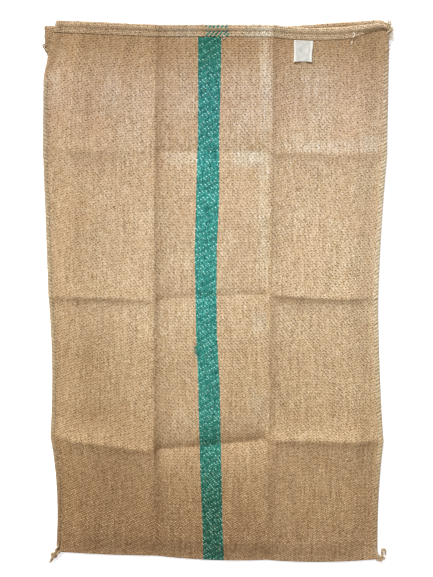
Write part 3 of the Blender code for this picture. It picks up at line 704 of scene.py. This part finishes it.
# Millimetres and percent: middle, half sizes, share. First the pale patches: where the pile is
# rubbed pale, and painted light on slopes that face the light, by the creases and the hem. Then
# patches where the cloth is a little lighter or darker.
PALE_RUBBED_AND_LIT = (
    (-207, 430, 18, 55, 75), (-170, 377, 35, 60, 35), (-318, 430, 14, 40, 50), (-305, 500, 10, 18, 50),
    (-58, 424, 22, 50, 40), (56, 405, 34, 72, 60), (95, 424, 13, 95, 115), (185, 395, 45, 85, 40),
    (192, 440, 30, 30, 75), (215, 316, 80, 12, 105), (300, 320, 22, 18, 120), (68, 292, 38, 16, 175),
    (92, 265, 12, 18, 120), (-68, 292, 34, 13, 95), (92, 149, 11, 95, 60), (85, -35, 14, 20, 110),
    (85, -214, 22, 35, 50), (-62, 533, 22, 12, 100), (80, 533, 28, 12, 120)
)
PATCHES = (
    (-285, 90, 35, 170, -9), (-272, -130, 45, 80, -14), (-255, -225, 80, 26, -13),
    (-175, 0, 45, 130, 7), (240, -225, 100, 26, -9), (88, 10, 20, 45, -11), (55, -272, 60, 18, -12),
    (-75, -225, 40, 45, 8), (-80, 520, 60, 25, 9), (300, 270, 50, 18, 7), (290, 0, 60, 20, 5),
    (230, -40, 60, 50, -5), (-120, -330, 70, 30, 6), (-220, -370, 60, 50, -6), (145, -320, 30, 30, 9),
    (-255, -410, 110, 80, -10)
)


def patches_at(x, y, patches, power):
    """The share of every patch at each point, falling off by a power of the way out from it."""
    x, y = x * 1000, y * 1000
    return [share / 100 * np.exp(-(((x - a) / wide) ** power) - ((y - b) / high) ** power)
            for a, b, wide, high, share in patches]


def dust_and_light_tone(x, y):
    """Painted light with dust: 1 on a sack in even light with no dust. Lower near the mouth and
    towards the foot, painted shade of the light falling off, with dust at the foot; higher in the
    middle; higher along the right crease by the mouth, a painted highlight on the slope facing the
    light."""
    near_mouth = eased((y - 0.38) / 0.10)
    # Painted shade of light falling off near the mouth and towards the foot, with dust at the foot.
    tone = down_sack(y, TONE_Y, TONE_AT)
    tone = tone * (1 + down_sack(y, LEAN_Y, LEAN_AT) * np.clip(x / 0.2, -1, 1))
    middle = bell(x - MIDDLE_X, MIDDLE_WIDTH) * (1 - near_mouth) * eased((y + 0.38) / 0.15)
    # Painted highlight on the slope beside the right crease that faces the light.
    crease = bell(x - CREASE_X, CREASE_WIDTH) * near_mouth
    edge = eased((-0.27 - x) / 0.06) * (1 - near_mouth)
    tone = tone * (1 + MIDDLE_PALING * middle + CREASE_PAINTED_LIGHT * crease - LEFT_EDGE_TONE * edge)
    return tone * np.prod([1 + patch for patch in patches_at(x, y, PATCHES, 2)], axis=0)


def tone_colour(tone, x, y):
    """Each channel is the tone to its own power, lifted by the largest pale patch: rubbing in some,
    painted light on slopes that face it in others. The fourth number is how worn the cloth is, more
    to the right and towards the foot."""
    pale = np.maximum.reduce(patches_at(x, y, PALE_RUBBED_AND_LIT, 4))
    red, green, blue = (
        tone**power * (1 + lift * pale) for power, lift in zip(TONE_POWERS, RUBBED_LIFT)
    )
    blue = blue * down_sack(y, SKY_Y, SKY_AT)
    worn = eased((0.30 - y) / 0.45) * (0.70 + 0.30 * eased((x + 0.20) / 0.25))
    return np.stack([red, green, blue, LEAST_WORN + (1 - LEAST_WORN) * worn], axis=-1)


def crease_tone(row, column):
    """Less than 1 by painted shade: a line just below each cross crease and beside each lengthwise
    crease, and over the whole foot, which falls away from the light.
    """
    at = distances(row, column, True)
    tone = np.ones_like(at["x"])
    # Painted shade lines at the creases, then over the foot.
    for distance, shade_line, middle, width in zip(at["cross"], CREASE_SHADE_LINES, SHADE_LINE_AT, SHADE_LINE_WIDTH):
        away = distance - by_column(at, middle, -middle, middle)  # a trough's lies above it
        tone = tone * (1 - by_column(at, *shade_line) * bell(away, width))
    for name, shade_line in zip(SIDES, LENGTHWISE_SHADE_LINES):
        tone = tone * (1 - shade_line * bell(at[name] - BESIDE, BESIDE_WIDTH))
    down = eased(-at["cross"][2] / FOOT_REACH)
    shade = by_column(at, *(a + (b - a) * down for a, b in zip(FOOT_SHADE, FOOT_END)))
    return tone * (1 - shade * eased(-at["cross"][2] / FOOT_START))


def cloth_tone(grid):
    """The tone of the sack, paler on the hem, whose reverse shows less dust, and palest on the hem's
    folded edge: painted light where the fold faces the light.
    """
    x, y = grid[..., 0], grid[..., 1]
    hem, lit_fold = np.zeros((2, len(grid), 1))
    hem[:hem_end], hem[-hem_end:] = HEM_TONE, HEM_TONE
    # Painted highlight: the hem's folded edge, where it faces the light.
    lit_fold[hem_end - TURN_STEPS - 2 : hem_end] = HEM_FOLD_PAINTED_LIGHT
    right_half = eased((x + 0.01) / 0.05)
    lift = hem * (1 + 0.65 * right_half) + lit_fold * (0.3 + 0.5 * eased((x - 0.10) / 0.05))
    creased = np.ones_like(x)
    creased[hem_end : hem_end + len(front_rows)] = crease_tone(*grid_of(front_rows))
    return tone_colour(dust_and_light_tone(x, y) * (1 + lift) * creased, x, y)


def store(piece, name, kind, field, values):
    """Keep one value for each point of a mesh, as an attribute that the finishes read."""
    kept = piece.data.attributes.new(name, kind, "POINT")
    kept.data.foreach_set(field, values.astype(np.float32).ravel())


def thickened(piece, thickness):
    """Give a sheet its thickness about its middle."""
    wall = piece.modifiers.new("thickness", "SOLIDIFY")
    wall.thickness, wall.offset = thickness, 0.0
    return wall


sack = finished("sack_cloth_woven", cloth_grid, grid_quads(*cloth_grid.shape[:2]), cloth_uv,
                [twill_face, twill_reverse])
store(sack, "tone", "FLOAT_COLOR", "color", cloth_tone(cloth_grid))
wall = thickened(sack, CLOTH_THICKNESS)
wall.use_even_offset, wall.material_offset = True, 1
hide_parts("sack_cloth")
solid_low = np.array(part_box("sack_cloth")[0])
print("cloth against its solid, mm:",
      np.round((cloth_grid.reshape(-1, 3).min(0) - solid_low) * 1000, 1).tolist())

# %% [markdown]
# ## Finding a spot on the cloth
# Twine, yarns and the label lie on the cloth, so each has to know how high the cloth is under it.
# The net turns a pair of numbers into a place. The way back is found by steps: see how far off
# the place is, move by that over the local spacing, and repeat.

# %% Spots on the cloth
SPOT_ROUNDS, ROW_SPACING, COLUMN_WIDTH = 9, 0.276, 0.224
FLOOR_CLEARANCE = 0.0006


def pair_at(x, y):
    """Row and column over a spot of the front, by repeated stepping."""
    row = np.interp(-y, (-0.557, -0.306, -0.007, 0.292, 0.545), range(5))
    column = np.interp(x, (-0.341, -0.123, 0.109, 0.338), range(4))
    for _ in range(SPOT_ROUNDS):
        at_x, at_y = plan(row, column, True)
        row = np.clip(row + (at_y - y) / ROW_SPACING, 0, 4)
        column = np.clip(column + (x - at_x) / COLUMN_WIDTH, 0, 3)
    return row, column


def over_front(x, y, lift=0.0, on_hem=True):
    """Places lifted over the upper side of the front, or of its hem where that covers it."""
    row, column = pair_at(x, y)
    under_hem = (distances(row, column, True)["mouth"] < hem_width(column)) & on_hem
    top = front_surface(row, column) + CLOTH_THICKNESS / 2 + np.where(under_hem, HEM_STEP, 0)
    return np.stack([x, y, top + lift], axis=-1) + NET_SHIFT


def side_place(side, y, inward, front):
    """x and height of one cloth at a distance in from its left (-1) or right (+1) edge."""
    edge = 0.0 if side < 0 else 3.0
    rows = np.linspace(0, 4, 4001)
    row = np.interp(-y, -plan(rows, np.full_like(rows, edge), front)[1], rows)
    column = edge - side * inward / COLUMN_WIDTH
    return place(row, column, front)[:, (0, 2)].T


def smooth_way(stops, steps):
    """A curve through all stops: cubic pieces whose slope at a stop is half the step across it."""
    stops = np.asarray(stops, float)
    padded = np.concatenate([2 * stops[:1] - stops[1:2], stops, 2 * stops[-1:] - stops[-2:-1]])
    share = np.linspace(0, len(stops) - 1, steps)
    piece = np.minimum(share.astype(int), len(stops) - 2)
    t = (share - piece)[:, None]
    a, b, c, d = (padded[piece + n] for n in range(4))
    cubic = 2 * b + (c - a) * t + (2 * a - 5 * b + 4 * c - d) * t**2
    return (cubic + (3 * b - 3 * c + d - a) * t**3) / 2


def strand_ways(rng, roots, heading, rise, length, curl, steps=5):
    """Ways of loose yarn ends: from each root, even steps whose heading turns by the curl from
    end to end and whose rise eases to nothing and then droops. A pair is a range to draw from."""
    count, share = len(roots), np.linspace(0, 1, steps)
    rise, length = (rng.uniform(*by, count) if len(by) == 2 else by for by in (rise, length))
    angle = heading[:, None] + rng.normal(0, curl, count)[:, None] * share
    climb = rise[:, None] * (1 - 1.5 * share)
    step = np.stack([np.cos(angle) * np.cos(climb), np.sin(angle) * np.cos(climb), np.sin(climb)])
    step = np.moveaxis(step, 0, -1) * (length / (steps - 1))[:, None, None]
    ways = roots[:, None] + added_up(step[:, :-1], 1)
    ways[..., 2] = np.maximum(ways[..., 2], FLOOR_CLEARANCE)
    return ways


print("spot check, mm:", np.round(over_front(np.array([0.17]), np.array([0.45])) * 1000, 1))

# %% [markdown]
# ## Twine and loose yarn
# Sacks are closed with a thick two-ply jute twine, paler than the cloth because it is spun from
# cleaner fibre. Yarn that has worked loose from a cut edge is paler still and greyer. Both are
# matt, with streaks along the fibre that wind round the tube with the twist.

# %% Twine, yarn and shive finishes
FIBRE_STREAK_MM = 1.1  # real fibres are 0.05 mm; drawn coarse enough to show


def fibrous(name, dark, pale, twist, dusty_and_shaded=False):
    """Streaks that run along the tube and wind round it: noise over round and along, sheared.
    With dust and shade on, the finish is also multiplied by the tone stored on its piece: its dust
    and its painted light and shade."""
    finish, node = new_finish(name)
    flat = node("UVMap", uv_map="flat")
    around, along = (node("SeparateXYZ", flat, take=n) for n in (0, 1))
    turn = node("Math MULTIPLY", node("Math MULTIPLY_ADD", along, twist, around), 2 * math.pi)
    length = node("Math MULTIPLY", along, 1000 / (12 * FIBRE_STREAK_MM))
    spot = node("CombineXYZ", node("Math COSINE", turn), node("Math SINE", turn), length)
    streak = node("TexNoise", spot, 1.6, 4.0)
    patch = node("TexNoise", node("TexCoord", take=3), 160.0, 2.0)
    colour = node("ValToRGB", node("Mix FLOAT", 0.45, streak, patch),
                  stops=((0.36, dark), (0.62, pale)))
    if dusty_and_shaded:
        tone = node("Attribute", attribute_name="tone")
        colour = node("Mix RGBA", 1.0, colour, tone, blend_type="MULTIPLY")
    surfaced(node, colour, streak, 0.0006, 0.8,
             {"Roughness": 0.9, "Specular IOR Level": 0.2, "Sheen Weight": 0.15})
    return finish


def dusted_and_shaded(piece, share=1.0):
    """Give a piece of twine the tone of the sack under it, its dust and its painted light and shade,
    to a power from 0 for none to 1.
    """
    places = np.empty(len(piece.data.vertices) * 3)
    piece.data.vertices.foreach_get("co", places)
    x, y, _ = places.reshape(-1, 3).T
    store(piece, "tone", "FLOAT_COLOR", "color", tone_colour(dust_and_light_tone(x, y) ** share, x, y))
    return piece


twine_finish = fibrous("jute twine two ply", "#9a886a", "#c2b49b", 60.0, dusty_and_shaded=True)
yarn_finish = fibrous("raw jute yarn frayed", "#9a845f", "#d2c1a4", 90.0)
green_finish = fibrous("raw jute yarn dyed green", "#0c5f58", "#2f9c90", 90.0)
shive_finish = fibrous("jute bark speck", "#3a2615", "#6b4c2e", 0.0)
cotton_finish = fibrous("bleached cotton thread", "#d9d4c8", "#f7f4ec", 120.0)
print("finishes:", len(bpy.data.materials))

# %% [markdown]
# ## Overcast side stitches
# Each side is closed with one twine that goes over the edge, under both cloths and up through
# them again, some hundred and thirty times. The real loop is squared off, because the twine lies
# flat on both faces, and a power below one squares off the circle of cosine and sine.

# %% Side stitches
STITCH_PITCH, STITCH_LEG, STITCH_RADIUS = 0.0074, 0.0080, 0.0020
STITCH_SQUASH = (0.55, 1.60)  # pulled tight, the plies spread side by side: thin and broad
STITCH_SLANTS = (0.0022, 0.0026)  # left and right: how the bars lean while crossing the edge
STITCH_TOPS, STITCH_FOOT = (0.452, 0.507), 0.010
STITCH_STRAY, LEG_SHARES = 0.16, (0.82, 1.12)  # no two stitches are pulled alike
LOOP_POINTS, LOOP_SQUARENESS, OVER_EDGE, FLOOR_SHARE = 12, 0.5, 0.3, 0.7
TWIST_LAY = 0.007


def overcast(side, top, slant, rng):
    """Cosine to a power gives the way in and out, sine to it gives over and under."""
    foot = NETS[1][4, 0 if side < 0 else 3, 1] + STITCH_FOOT
    count = int((top - foot) / STITCH_PITCH)
    turns = np.arange(count * LOOP_POINTS + 1) / LOOP_POINTS
    whole = np.arange(count + 2)
    station = foot + STITCH_PITCH * (whole + rng.uniform(-STITCH_STRAY, STITCH_STRAY, count + 2))
    leg = np.interp(turns, whole, STITCH_LEG * rng.uniform(*LEG_SHARES, count + 2))
    angle = 2 * math.pi * turns
    way, over = (
        np.sign(wave) * np.abs(wave) ** LOOP_SQUARENESS for wave in (np.cos(angle), np.sin(angle))
    )
    y = np.interp(turns, whole, station) + slant * (1 - way) / 2
    inward = leg * (1 + way) / 2
    x, upper = side_place(side, y, inward, True)
    _, lower = side_place(side, y, inward, False)
    middle, half = (upper + lower) / 2, (upper - lower + CLOTH_THICKNESS) / 2
    x = x + side * OVER_EDGE * STITCH_RADIUS * np.maximum(-way, 0)
    z = np.maximum(middle + over * half, FLOOR_SHARE * STITCH_RADIUS)
    return np.stack([x, y, z], axis=-1) + NET_SHIFT


for side, word, top, slant in zip((-1, 1), SIDES, STITCH_TOPS, STITCH_SLANTS):
    way = overcast(side, top, slant, np.random.default_rng(20 + side))
    piece = tubes("side_stitches_" + word, way[None], STITCH_RADIUS, 8, twine_finish,
                  (0, 1, 0), lobes=0.12, lay=TWIST_LAY, squash=STITCH_SQUASH)
    dusted_and_shaded(piece)
    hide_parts("side_seam_" + word)
    print(word, "side:", round((len(way) - 1) / LOOP_POINTS), "stitches")

# %% [markdown]
# ## Stitching across the hem
# A machine ran a chain of the same twine along the hem and crossed the dyed stripe with it. Two
# waves, half a wave apart, make the small overlapping loops that the eye reads as a pale band.

# %% Hem stitches
HEM_ROW_DROP, HEM_WAVE, HEM_SWING = 0.0085, 0.0062, 0.0019
HEM_TWINE, HEM_TWINE_PROUD, PROUD_X, PROUD_REACH = 0.00045, 0.00045, -0.001, 0.026
hem_x = np.arange(-0.305, 0.333, HEM_WAVE / 8)
mouth_y = np.interp(hem_x, *plan(np.zeros(400), np.linspace(0, 3, 400), True))
proud = eased(1.5 - np.abs(hem_x - PROUD_X) / PROUD_REACH)  # sewn tighter over the stripe
hem_size = HEM_TWINE + HEM_TWINE_PROUD * proud
hem_rows = []
for shift in (0.0, math.pi):
    wave = 2 * math.pi * hem_x / HEM_WAVE + shift
    drop = HEM_ROW_DROP + HEM_SWING * np.sin(wave)
    hem_rows.append(over_front(hem_x, mouth_y - drop, hem_size * (0.4 * np.cos(wave) - 0.3)))
hem_piece = dusted_and_shaded(tubes("hem_stitches", hem_rows, hem_size, 6, twine_finish))
print("hem stitches:", 2 * round((hem_x[-1] - hem_x[0]) / HEM_WAVE))

# %% [markdown]
# ## Knots at the bottom corners
# Each side twine ends in a lump of two or three turns with its ends hanging out. A curve is drawn
# through a few stops, and the same tube builder lays the twine along it. The ends open into
# fibres, so they taper and a brush of hairs leaves them.

# %% Corner knots
TWINE_RADIUS, KNOT_LAY, KNOT_TONE_SHARE = 0.0027, 0.012, 0.75
WAY_STEPS, TIP_HAIRS, KNOT_HAIRS, HAIR_RADIUS = 60, 14, 40, 0.00022
KNOT_MIDDLES = np.array([(-0.3440, -0.5400, 0.0052), (0.3455, -0.5475, 0.0052)])
# Tenths of a millimetre from the knot's middle: the lump's turns, then three tails on each side.
KNOT_STOPS = [(-50, 90, 20), (-40, 30, 10), (30, -40, 24), (46, 22, -4), (-32, 26, -22),
              (-26, -40, 0), (36, -12, 18)]
KNOT_ENDS = (
    ([(10, -20, 10), (-50, -90, -20), (-100, -165, -28)],
     [(10, 20, 20), (40, 100, 30), (85, 185, 22), (105, 280, 18)],
     [(30, 0, 10), (85, 65, 35), (155, 105, 30)]),
    ([(10, 10, 20), (60, 85, 10), (55, 180, -10), (125, 185, -15), (130, 95, -10)],
     [(10, 0, 10), (70, -10, -10), (128, 5, -25)],
     [(0, 20, 20), (-40, 95, 30), (-85, 210, 20), (-100, 330, 18)]),
)
for side, word, middle, ends in zip((-1, 1), SIDES, KNOT_MIDDLES, KNOT_ENDS):
    stops = [np.array(KNOT_STOPS) * (side, 1, 1)] + list(ends)
    ways = np.array([smooth_way(np.array(stop) / 10000, WAY_STEPS) for stop in stops])
    ways = ways + middle + NET_SHIFT
    size = np.full(ways.shape[:2], TWINE_RADIUS)
    size[1:] *= 1 - 0.25 * np.linspace(0, 1, WAY_STEPS) ** 4
    ways[..., 2] = np.maximum(ways[..., 2], TWINE_RADIUS * 1.3)
    knot = tubes("knot_" + word, ways, size, 10, twine_finish,
                 reference=(0.2, 0.1, 1), lobes=0.22, lay=KNOT_LAY)
    # The knots take part of the cloth's tone: dust and painted light and shade.
    dusted_and_shaded(knot, KNOT_TONE_SHARE)
    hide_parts("corner_knot_" + word)
    rng = np.random.default_rng(50 + side)
    tips = ways[1:, -1].repeat(TIP_HAIRS, axis=0)
    last = tips - ways[1:, -6].repeat(TIP_HAIRS, axis=0)
    heading = np.arctan2(last[:, 1], last[:, 0]) + rng.normal(0, 0.35, len(tips))
    on_knot = ways.reshape(-1, 3)[rng.integers(0, ways[..., 0].size, KNOT_HAIRS)]
    roots = np.concatenate([tips, on_knot])
    heading = np.concatenate([heading, rng.uniform(0, 2 * math.pi, KNOT_HAIRS)])
    hairs = strand_ways(rng, roots, heading, (-0.3, 0.7), (0.002, 0.0045), 0.6)
    tubes("knot_hairs_" + word, hairs, HAIR_RADIUS, 3, yarn_finish)
print("knots at, mm:", np.round((KNOT_MIDDLES + NET_SHIFT) * 1000, 1).tolist())

# %% [markdown]
# ## The label
# A small square of bleached cotton tape is caught under the hem. Its sides are turned under, so
# they stand a little higher and whiter, and its foot curls up because nothing holds it.

# %% Label
LABEL_LEFT, LABEL_RIGHT, LABEL_TOP, LABEL_HEIGHT = 0.1512, 0.1870, 0.5180, 0.0395
LABEL_SKEW, LABEL_SHEET, LABEL_LIFT = 0.0012, 0.0006, 0.0006
LABEL_CURL, BORDER_SHARE, BORDER_RISE, LABEL_GRID = 0.0018, 0.12, 0.0005, 41
LABEL_WAVE, LABEL_TILT, LABEL_SAG = 0.0006, 0.0009, 0.0012
TAPE_THREAD_MM = 1.25  # the real threads are 0.5 mm apart; drawn coarse enough to show

s, t = np.meshgrid(*[np.linspace(0, 1, LABEL_GRID)] * 2)
out = 2 * s - 1  # from -1 at the left edge to 1 at the right
label_x = LABEL_LEFT + (LABEL_RIGHT - LABEL_LEFT) * s - LABEL_SKEW * t
label_x = label_x + LABEL_WAVE * np.sin(5 * t + 1) * out
label_y = LABEL_TOP - LABEL_HEIGHT * t - LABEL_TILT * (1 - t) * out - LABEL_SAG * t**6 * out**2
border = eased((BORDER_SHARE - np.minimum(s, 1 - s)) / 0.03)
curl = LABEL_CURL * t**3 * (0.35 + 0.65 * out**2) + LABEL_WAVE * t * np.sin(9 * s)
label_points = over_front(label_x, label_y, LABEL_LIFT + BORDER_RISE * border + curl, False)
label_uv = np.stack([s * (LABEL_RIGHT - LABEL_LEFT), t * LABEL_HEIGHT], axis=-1)


def cotton_tape(name):
    """Plain weave: the product of two waves is high on one set of threads and low on the other."""
    finish, node = new_finish(name)
    flat = node("UVMap", uv_map="flat")
    counted = node("VectorMath MULTIPLY", flat, (1000 * math.pi / TAPE_THREAD_MM,) * 3)
    waves = [node("Math SINE", node("SeparateXYZ", counted, take=n)) for n in (0, 1)]
    weave = node("Math MULTIPLY", *waves)
    stain = node("TexNoise", flat, 90.0, 3.0)
    colour = node("ValToRGB", node("Math MULTIPLY_ADD", weave, 0.16, stain),
                  stops=((0.25, "#aeb0aa"), (0.62, "#cbccc7")))
    ridge = node("Attribute", attribute_name="border", take=2)
    surfaced(node, node("Mix RGBA", ridge, colour, "#dcdbd6"), weave, 0.0003, 0.7,
             {"Roughness": 0.8, "Specular IOR Level": 0.3, "Sheen Weight": 0.1})
    return finish


label = finished("label_tape", label_points, grid_quads(LABEL_GRID, LABEL_GRID), label_uv,
                 cotton_tape("bleached cotton tape woven plain"))
store(label, "border", "FLOAT", "value", 0.8 * border)
thickened(label, LABEL_SHEET)
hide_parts("label")
print("label, mm:", np.round(np.ptp(label_points.reshape(-1, 3), axis=0) * 1000, 1).tolist())

# %% [markdown]
# ## Loose yarns
# The right end of the hem has frayed into a tuft, the left corner of the back, which was never
# sewn, sheds its edge yarns, and short fibres stand out along the mouth. All are the same kind
# of thing, a root, a heading and a length, so one array of each makes them all.

# %% Frayed corner
def scattered(name, rng, x, y, z, heading, length, thickest, rise=(-0.1, 0.5)):
    """Loose yarns with roots spread evenly between two corners of a box, tapered to their ends."""
    count = len(heading)
    roots = np.stack([rng.uniform(*span, count) for span in (x, y, z)], axis=-1) + NET_SHIFT
    ways = strand_ways(rng, roots, heading, rise, length, 0.8, 6)
    size = rng.uniform(0.0003, thickest, count)[:, None] * np.linspace(1, 0.6, ways.shape[1])
    return tubes(name, ways, size, 4, yarn_finish)


CORNER_YARNS, LEFT_YARNS, RIGHT_YARNS = 110, 40, 12
rng = np.random.default_rng(61)
corner_tuft = scattered("frayed_yarns", rng, (0.3315, 0.3375), (0.518, 0.552), (0.0060, 0.0130),
                        rng.normal(0.80, 0.60, CORNER_YARNS), (0.006, 0.0155), 0.0007,
                        (-0.30, 0.15))
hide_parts("frayed_corner")
scattered("edge_yarns_left", rng, (-0.3350, -0.3290), (0.492, 0.546), (0.0020, 0.0052),
          rng.normal(2.1, 0.6, LEFT_YARNS), (0.004, 0.0085), 0.0006)
scattered("edge_yarns_right", rng, (0.3345, 0.3365), (0.500, 0.516), (0.0050, 0.0080),
          rng.normal(0.5, 0.5, RIGHT_YARNS), (0.004, 0.0075), 0.0006)
start_stops = [(-0.3330, 0.500, 0.0048), (-0.3375, 0.5065, 0.0056), (-0.3392, 0.5120, 0.0050),
               (-0.3362, 0.5130, 0.0046), (-0.3345, 0.5085, 0.0052)]
start_way = smooth_way(start_stops, 24) + NET_SHIFT
dusted_and_shaded(tubes("seam_start_left", start_way[None], 0.0013, 8, twine_finish, lobes=0.2))
print("yarns in the frayed corner:", CORNER_YARNS)

# %% Fibres along the mouth and over the cloth
MOUTH_FIBRES, STRAY_FIBRES, FULL_TURN = 460, 1100, 2 * math.pi
FIBRE_RADII = (0.00026, 0.00020)
column = rng.uniform(0.06, 3, MOUTH_FIBRES)
row = rng.uniform(0, 0.004, MOUTH_FIBRES)
x, y = plan(row, column, True)
top = front_surface(row, column) + rng.uniform(0.0, 0.0042, MOUTH_FIBRES)
roots = np.stack([x, y - 0.0006, top], axis=-1) + NET_SHIFT
fuzz = strand_ways(rng, roots, rng.normal(math.pi / 2, 0.8, MOUTH_FIBRES), (-0.4, 0.8),
                   (0.0015, 0.0055), 1.2)
tubes("mouth_fibres", fuzz, FIBRE_RADII[0], 3, yarn_finish)

row, column = rng.uniform(0.02, 3.98, STRAY_FIBRES), rng.uniform(0.03, 2.97, STRAY_FIBRES)
roots = over_front(*plan(row, column, True), 0.0)
hairs = strand_ways(rng, roots, rng.uniform(0, FULL_TURN, STRAY_FIBRES), (0.05, 0.5),
                    (0.003, 0.008), 1.3)
tubes("stray_fibres", hairs, FIBRE_RADII[1], 3, yarn_finish)
print("loose fibres:", MOUTH_FIBRES + STRAY_FIBRES)

# %% Specks, tufts and thread ends
SPECKS, TUFT_YARNS, TUFT_RADIUS, THREAD_RADIUS = 90, 26, 0.00042, 0.0007
BIG_SPECKS = ((-0.2050, 0.2500, 0.0140), (0.1960, 0.4370, 0.5190))  # x and y of three
row, column = rng.uniform(0.05, 3.95, SPECKS), rng.uniform(0.05, 2.95, SPECKS)
spots = [plan(row, column, True), np.array(BIG_SPECKS)]
roots = np.concatenate([over_front(*spot, 0.0001) for spot in spots])
long = np.concatenate([rng.uniform(0.0012, 0.0036, SPECKS), [0.005, 0.0045, 0.005]])
wide = np.concatenate([rng.uniform(0.0002, 0.00038, SPECKS), [0.0009, 0.0008, 0.0009]])
specks = strand_ways(rng, roots, rng.normal(math.pi / 2, 0.7, len(roots)), 0 * long, long, 0.3, 4)
tubes("bark_specks", specks, wide[:, None], 4, shive_finish)

roots = over_front(rng.normal(-0.0400, 0.0022, TUFT_YARNS), rng.normal(-0.0960, 0.0040, TUFT_YARNS),
                   0.0002)
tuft = strand_ways(rng, roots, rng.uniform(0, FULL_TURN, TUFT_YARNS), (0.0, 0.7), (0.004, 0.009),
                   1.5, 7)
tubes("green_tuft", tuft, TUFT_RADIUS, 4, green_finish)

# Tenths of a millimetre: along the hem, up the sack, and over the cloth.
THREAD_STOPS = (
    ((135, 5285, 10), (150, 5265, 20), (160, 5235, 10), (140, 5215, 5)),
    ((2650, 5330, 10), (2672, 5300, 20), (2665, 5262, 10), (2640, 5240, 5)),
    ((2625, 5180, 5), (2632, 5155, 10), (2625, 5130, 5), (2630, 5120, 3)),
)
threads = [over_front(*smooth_way(np.array(stops) / 10000, 20).T) for stops in THREAD_STOPS]
tubes("thread_ends", threads, THREAD_RADIUS, 6, cotton_finish)
print("specks:", len(specks), "thread ends:", len(threads))

# %% [markdown]
# ## Floor and light
# A pale floor, and a soft light from beyond the mouth, a little from the left and not very high,
# so that it grazes the creases: slopes that face it are pale and the far sides are dark. A plain
# sky fills the shadows.

# %% Floor
FLOOR_SIZE, FLOOR_DROP = 4.0, 0.0003
floor_mesh = bpy.data.meshes.new("floor")
floor_mesh.from_pydata([(FLOOR_SIZE * x, FLOOR_SIZE * y, -FLOOR_DROP)
                        for x, y in ((-1, -1), (1, -1), (1, 1), (-1, 1))], [], [(0, 1, 2, 3)])
floor = bpy.data.objects.new("floor", floor_mesh)
bpy.context.scene.collection.objects.link(floor)
floor_finish, node = new_finish("matt white studio paper")
paper = node("TexNoise", node("TexCoord", take=3), 3.0)
paper = node("ValToRGB", paper, stops=((0, "#f4f3f1"), (1, "#f8f7f5")))
node("OutputMaterial", node("BsdfPrincipled", {"Base Color": paper, "Roughness": 0.9,
     "Emission Color": "#e6f0ff", "Emission Strength": 0.55}))
floor_mesh.materials.append(floor_finish)

# %% Light
WINDOW_FROM, WINDOW_STRENGTH, WINDOW_SOFTNESS = (-0.32, 0.74, 0.59), 5.35, 0.30
SKY_STRENGTH = 0.52
scene = bpy.context.scene
scene.view_settings.view_transform = "Standard"
scene.world = bpy.data.worlds.new("plain sky")
scene.world.use_nodes = True
sky = scene.world.node_tree.nodes["Background"]
sky.inputs["Color"].default_value = linear("#fff0dc")
sky.inputs["Strength"].default_value = SKY_STRENGTH

# The window's rays come from one direction, all over the floor alike.
light = bpy.data.lights.new("window", "SUN")
light.energy, light.angle = WINDOW_STRENGTH, WINDOW_SOFTNESS
light.color = linear("#f6f9ff")[:3]
window = bpy.data.objects.new("window", light)
away = np.array(WINDOW_FROM) / np.linalg.norm(WINDOW_FROM)
window.rotation_euler = (math.acos(away[2]), 0.0, math.atan2(away[0], -away[1]))
scene.collection.objects.link(window)
print("height of the window over the floor, degrees:", round(math.degrees(math.asin(away[2]))))
